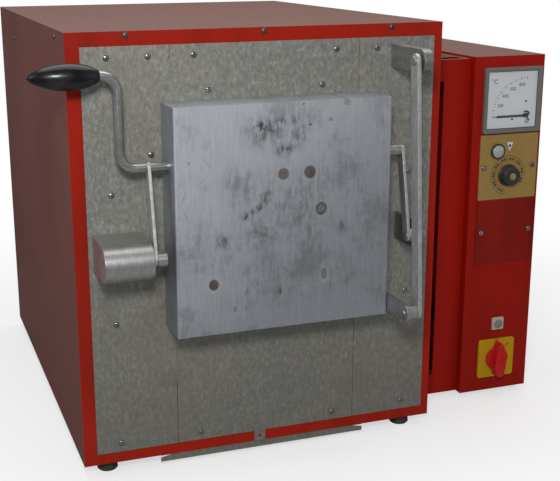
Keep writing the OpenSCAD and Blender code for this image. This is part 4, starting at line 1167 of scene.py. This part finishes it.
class KILN_OT_stage(bpy.types.Operator):
    """Makes the camera, the floor, the lamps and the world"""

    bl_idname = "kiln.stage"
    bl_label = "Camera and stage"
    bl_options = {"REGISTER", "UNDO"}

    def execute(self, context):
        scene = context.scene
        scene.view_settings.view_transform = "Standard"
        self.camera(scene)
        self.floor()
        self.lamps(scene)
        return {"FINISHED"}

    def camera(self, scene):
        """The photograph's viewpoint, solved from the case's corners"""
        azimuth = 0.3332
        elevation = -0.2618
        roll = -0.0053
        focal = 1076.45
        centre_u = 250.17
        centre_v = 236.19
        width = 560
        height = 481
        d = Vector((math.sin(azimuth) * math.cos(elevation), math.cos(azimuth) * math.cos(elevation),
                    math.sin(elevation)))
        right = d.cross(Vector((0, 0, 1))).normalized()
        up = right.cross(d)
        right, up = (math.cos(roll) * right + math.sin(roll) * up,
                     math.cos(roll) * up - math.sin(roll) * right)
        data = bpy.data.cameras.new("camera")
        data.sensor_width = 36
        data.lens = focal / width * data.sensor_width
        data.shift_x = (width / 2 - centre_u) / width
        data.shift_y = (centre_v - height / 2) / width
        data.clip_end = 30
        camera = bpy.data.objects.new("camera", data)
        scene.collection.objects.link(camera)
        turn = Matrix((right, up, -d)).transposed().to_4x4()
        camera.matrix_world = Matrix.Translation(here(-472.186, -1304.126, 667.042)) @ turn
        scene.camera = camera

    def floor(self):
        bpy.ops.mesh.primitive_grid_add(x_subdivisions=8, y_subdivisions=8, size=16,
                                        location=(0, 0, CAD_BOX[0][2]))
        floor = bpy.context.view_layer.objects.active
        floor.name = "floor"
        f = Finish("floor_pale")
        mottle = f.noise(2.5, 4)
        tone = f.mix(mottle, (0.34, 0.34, 0.335), (0.37, 0.37, 0.365))
        seen = Value(f, f.node("ShaderNodeLightPath").outputs["Is Camera Ray"])
        glow = f.mix(seen, (0.04, 0.04, 0.04), (0.62, 0.62, 0.62))
        apart = f.node("ShaderNodeVectorMath", {"operation": "LENGTH"}, {0: f.place})
        fade = 1 - f.step(Value(f, apart.outputs["Value"]), 0.55, 1.25)
        f.give(color=tone, rough=0.8, metal=0.0, Emission_Strength=1.0)
        f.links.new(glow.socket, f.shader.inputs["Emission Color"])
        f.links.new(fade.socket, f.shader.inputs["Alpha"])
        floor.data.materials.append(f.material)

    def lamps(self, scene):
        world = bpy.data.worlds.new("studio")
        scene.world = world
        world.use_nodes = True
        nodes = world.node_tree.nodes
        links = world.node_tree.links
        nodes.clear()
        output = nodes.new("ShaderNodeOutputWorld")
        mixer = nodes.new("ShaderNodeMixShader")
        dim = nodes.new("ShaderNodeBackground")
        white = nodes.new("ShaderNodeBackground")
        path = nodes.new("ShaderNodeLightPath")
        dim.inputs[0].default_value = (0.9, 0.93, 1.0, 1)
        dim.inputs[1].default_value = 0.22
        white.inputs[0].default_value = (1, 1, 1, 1)
        white.inputs[1].default_value = 1.0
        links.new(path.outputs["Is Camera Ray"], mixer.inputs[0])
        links.new(dim.outputs[0], mixer.inputs[1])
        links.new(white.outputs[0], mixer.inputs[2])
        links.new(mixer.outputs[0], output.inputs[0])
        target = here(0, 0, 300)
        for name, place, size, power, tint in (
                ("key", (-500, -1250, 1000), 0.22, 12, (1.0, 0.99, 0.97)),
                ("window", (-2200, -300, 1500), 1.8, 17, (0.88, 0.94, 1.0)),
                ("overhead", (200, 600, 2400), 2.2, 34, (1.0, 0.98, 0.95)),
                ("fill", (1700, -1500, 900), 1.6, 2.5, (1.0, 0.98, 0.96))):
            data = bpy.data.lights.new(name, "AREA")
            data.size = size
            data.energy = power
            data.color = tint
            lamp = bpy.data.objects.new(name, data)
            scene.collection.objects.link(lamp)
            lamp.location = here(*place)
            lamp.rotation_euler = (target - lamp.location).to_track_quat("-Z", "Y").to_euler()


class KILN_PT_panel(bpy.types.Panel):
    """Lists the kiln's operators and settings"""

    bl_idname = "KILN_PT_panel"
    bl_label = "Kiln"
    bl_space_type = "VIEW_3D"
    bl_region_type = "UI"
    bl_category = "Kiln"

    def draw(self, context):
        for operator in STEPS:
            self.layout.operator(operator.bl_idname)
        for group in (context.scene.kiln_colors, context.scene.kiln_sizes):
            for name in group.__annotations__:
                self.layout.prop(group, name)


STEPS = (
    KILN_OT_stage,
    KILN_OT_finishes,
    KILN_OT_case,
    KILN_OT_screws,
    KILN_OT_door,
    KILN_OT_linkage,
    KILN_OT_lining,
    KILN_OT_control_box,
    KILN_OT_meter,
    KILN_OT_regulator,
    KILN_OT_lamps,
    KILN_OT_switch,
)
CLASSES = (KilnColors, KilnSizes, *STEPS, KILN_PT_panel)


def register():
    for item in CLASSES:
        bpy.utils.register_class(item)
    bpy.types.Scene.kiln_colors = PointerProperty(type=KilnColors)
    bpy.types.Scene.kiln_sizes = PointerProperty(type=KilnSizes)


def unregister():
    del bpy.types.Scene.kiln_sizes
    del bpy.types.Scene.kiln_colors
    for item in reversed(CLASSES):
        bpy.utils.unregister_class(item)


def main():
    register()
    for operator in STEPS:
        group, name = operator.bl_idname.split(".")
        getattr(getattr(bpy.ops, group), name)()
    deselect()


if __name__ == "__main__":
    main()
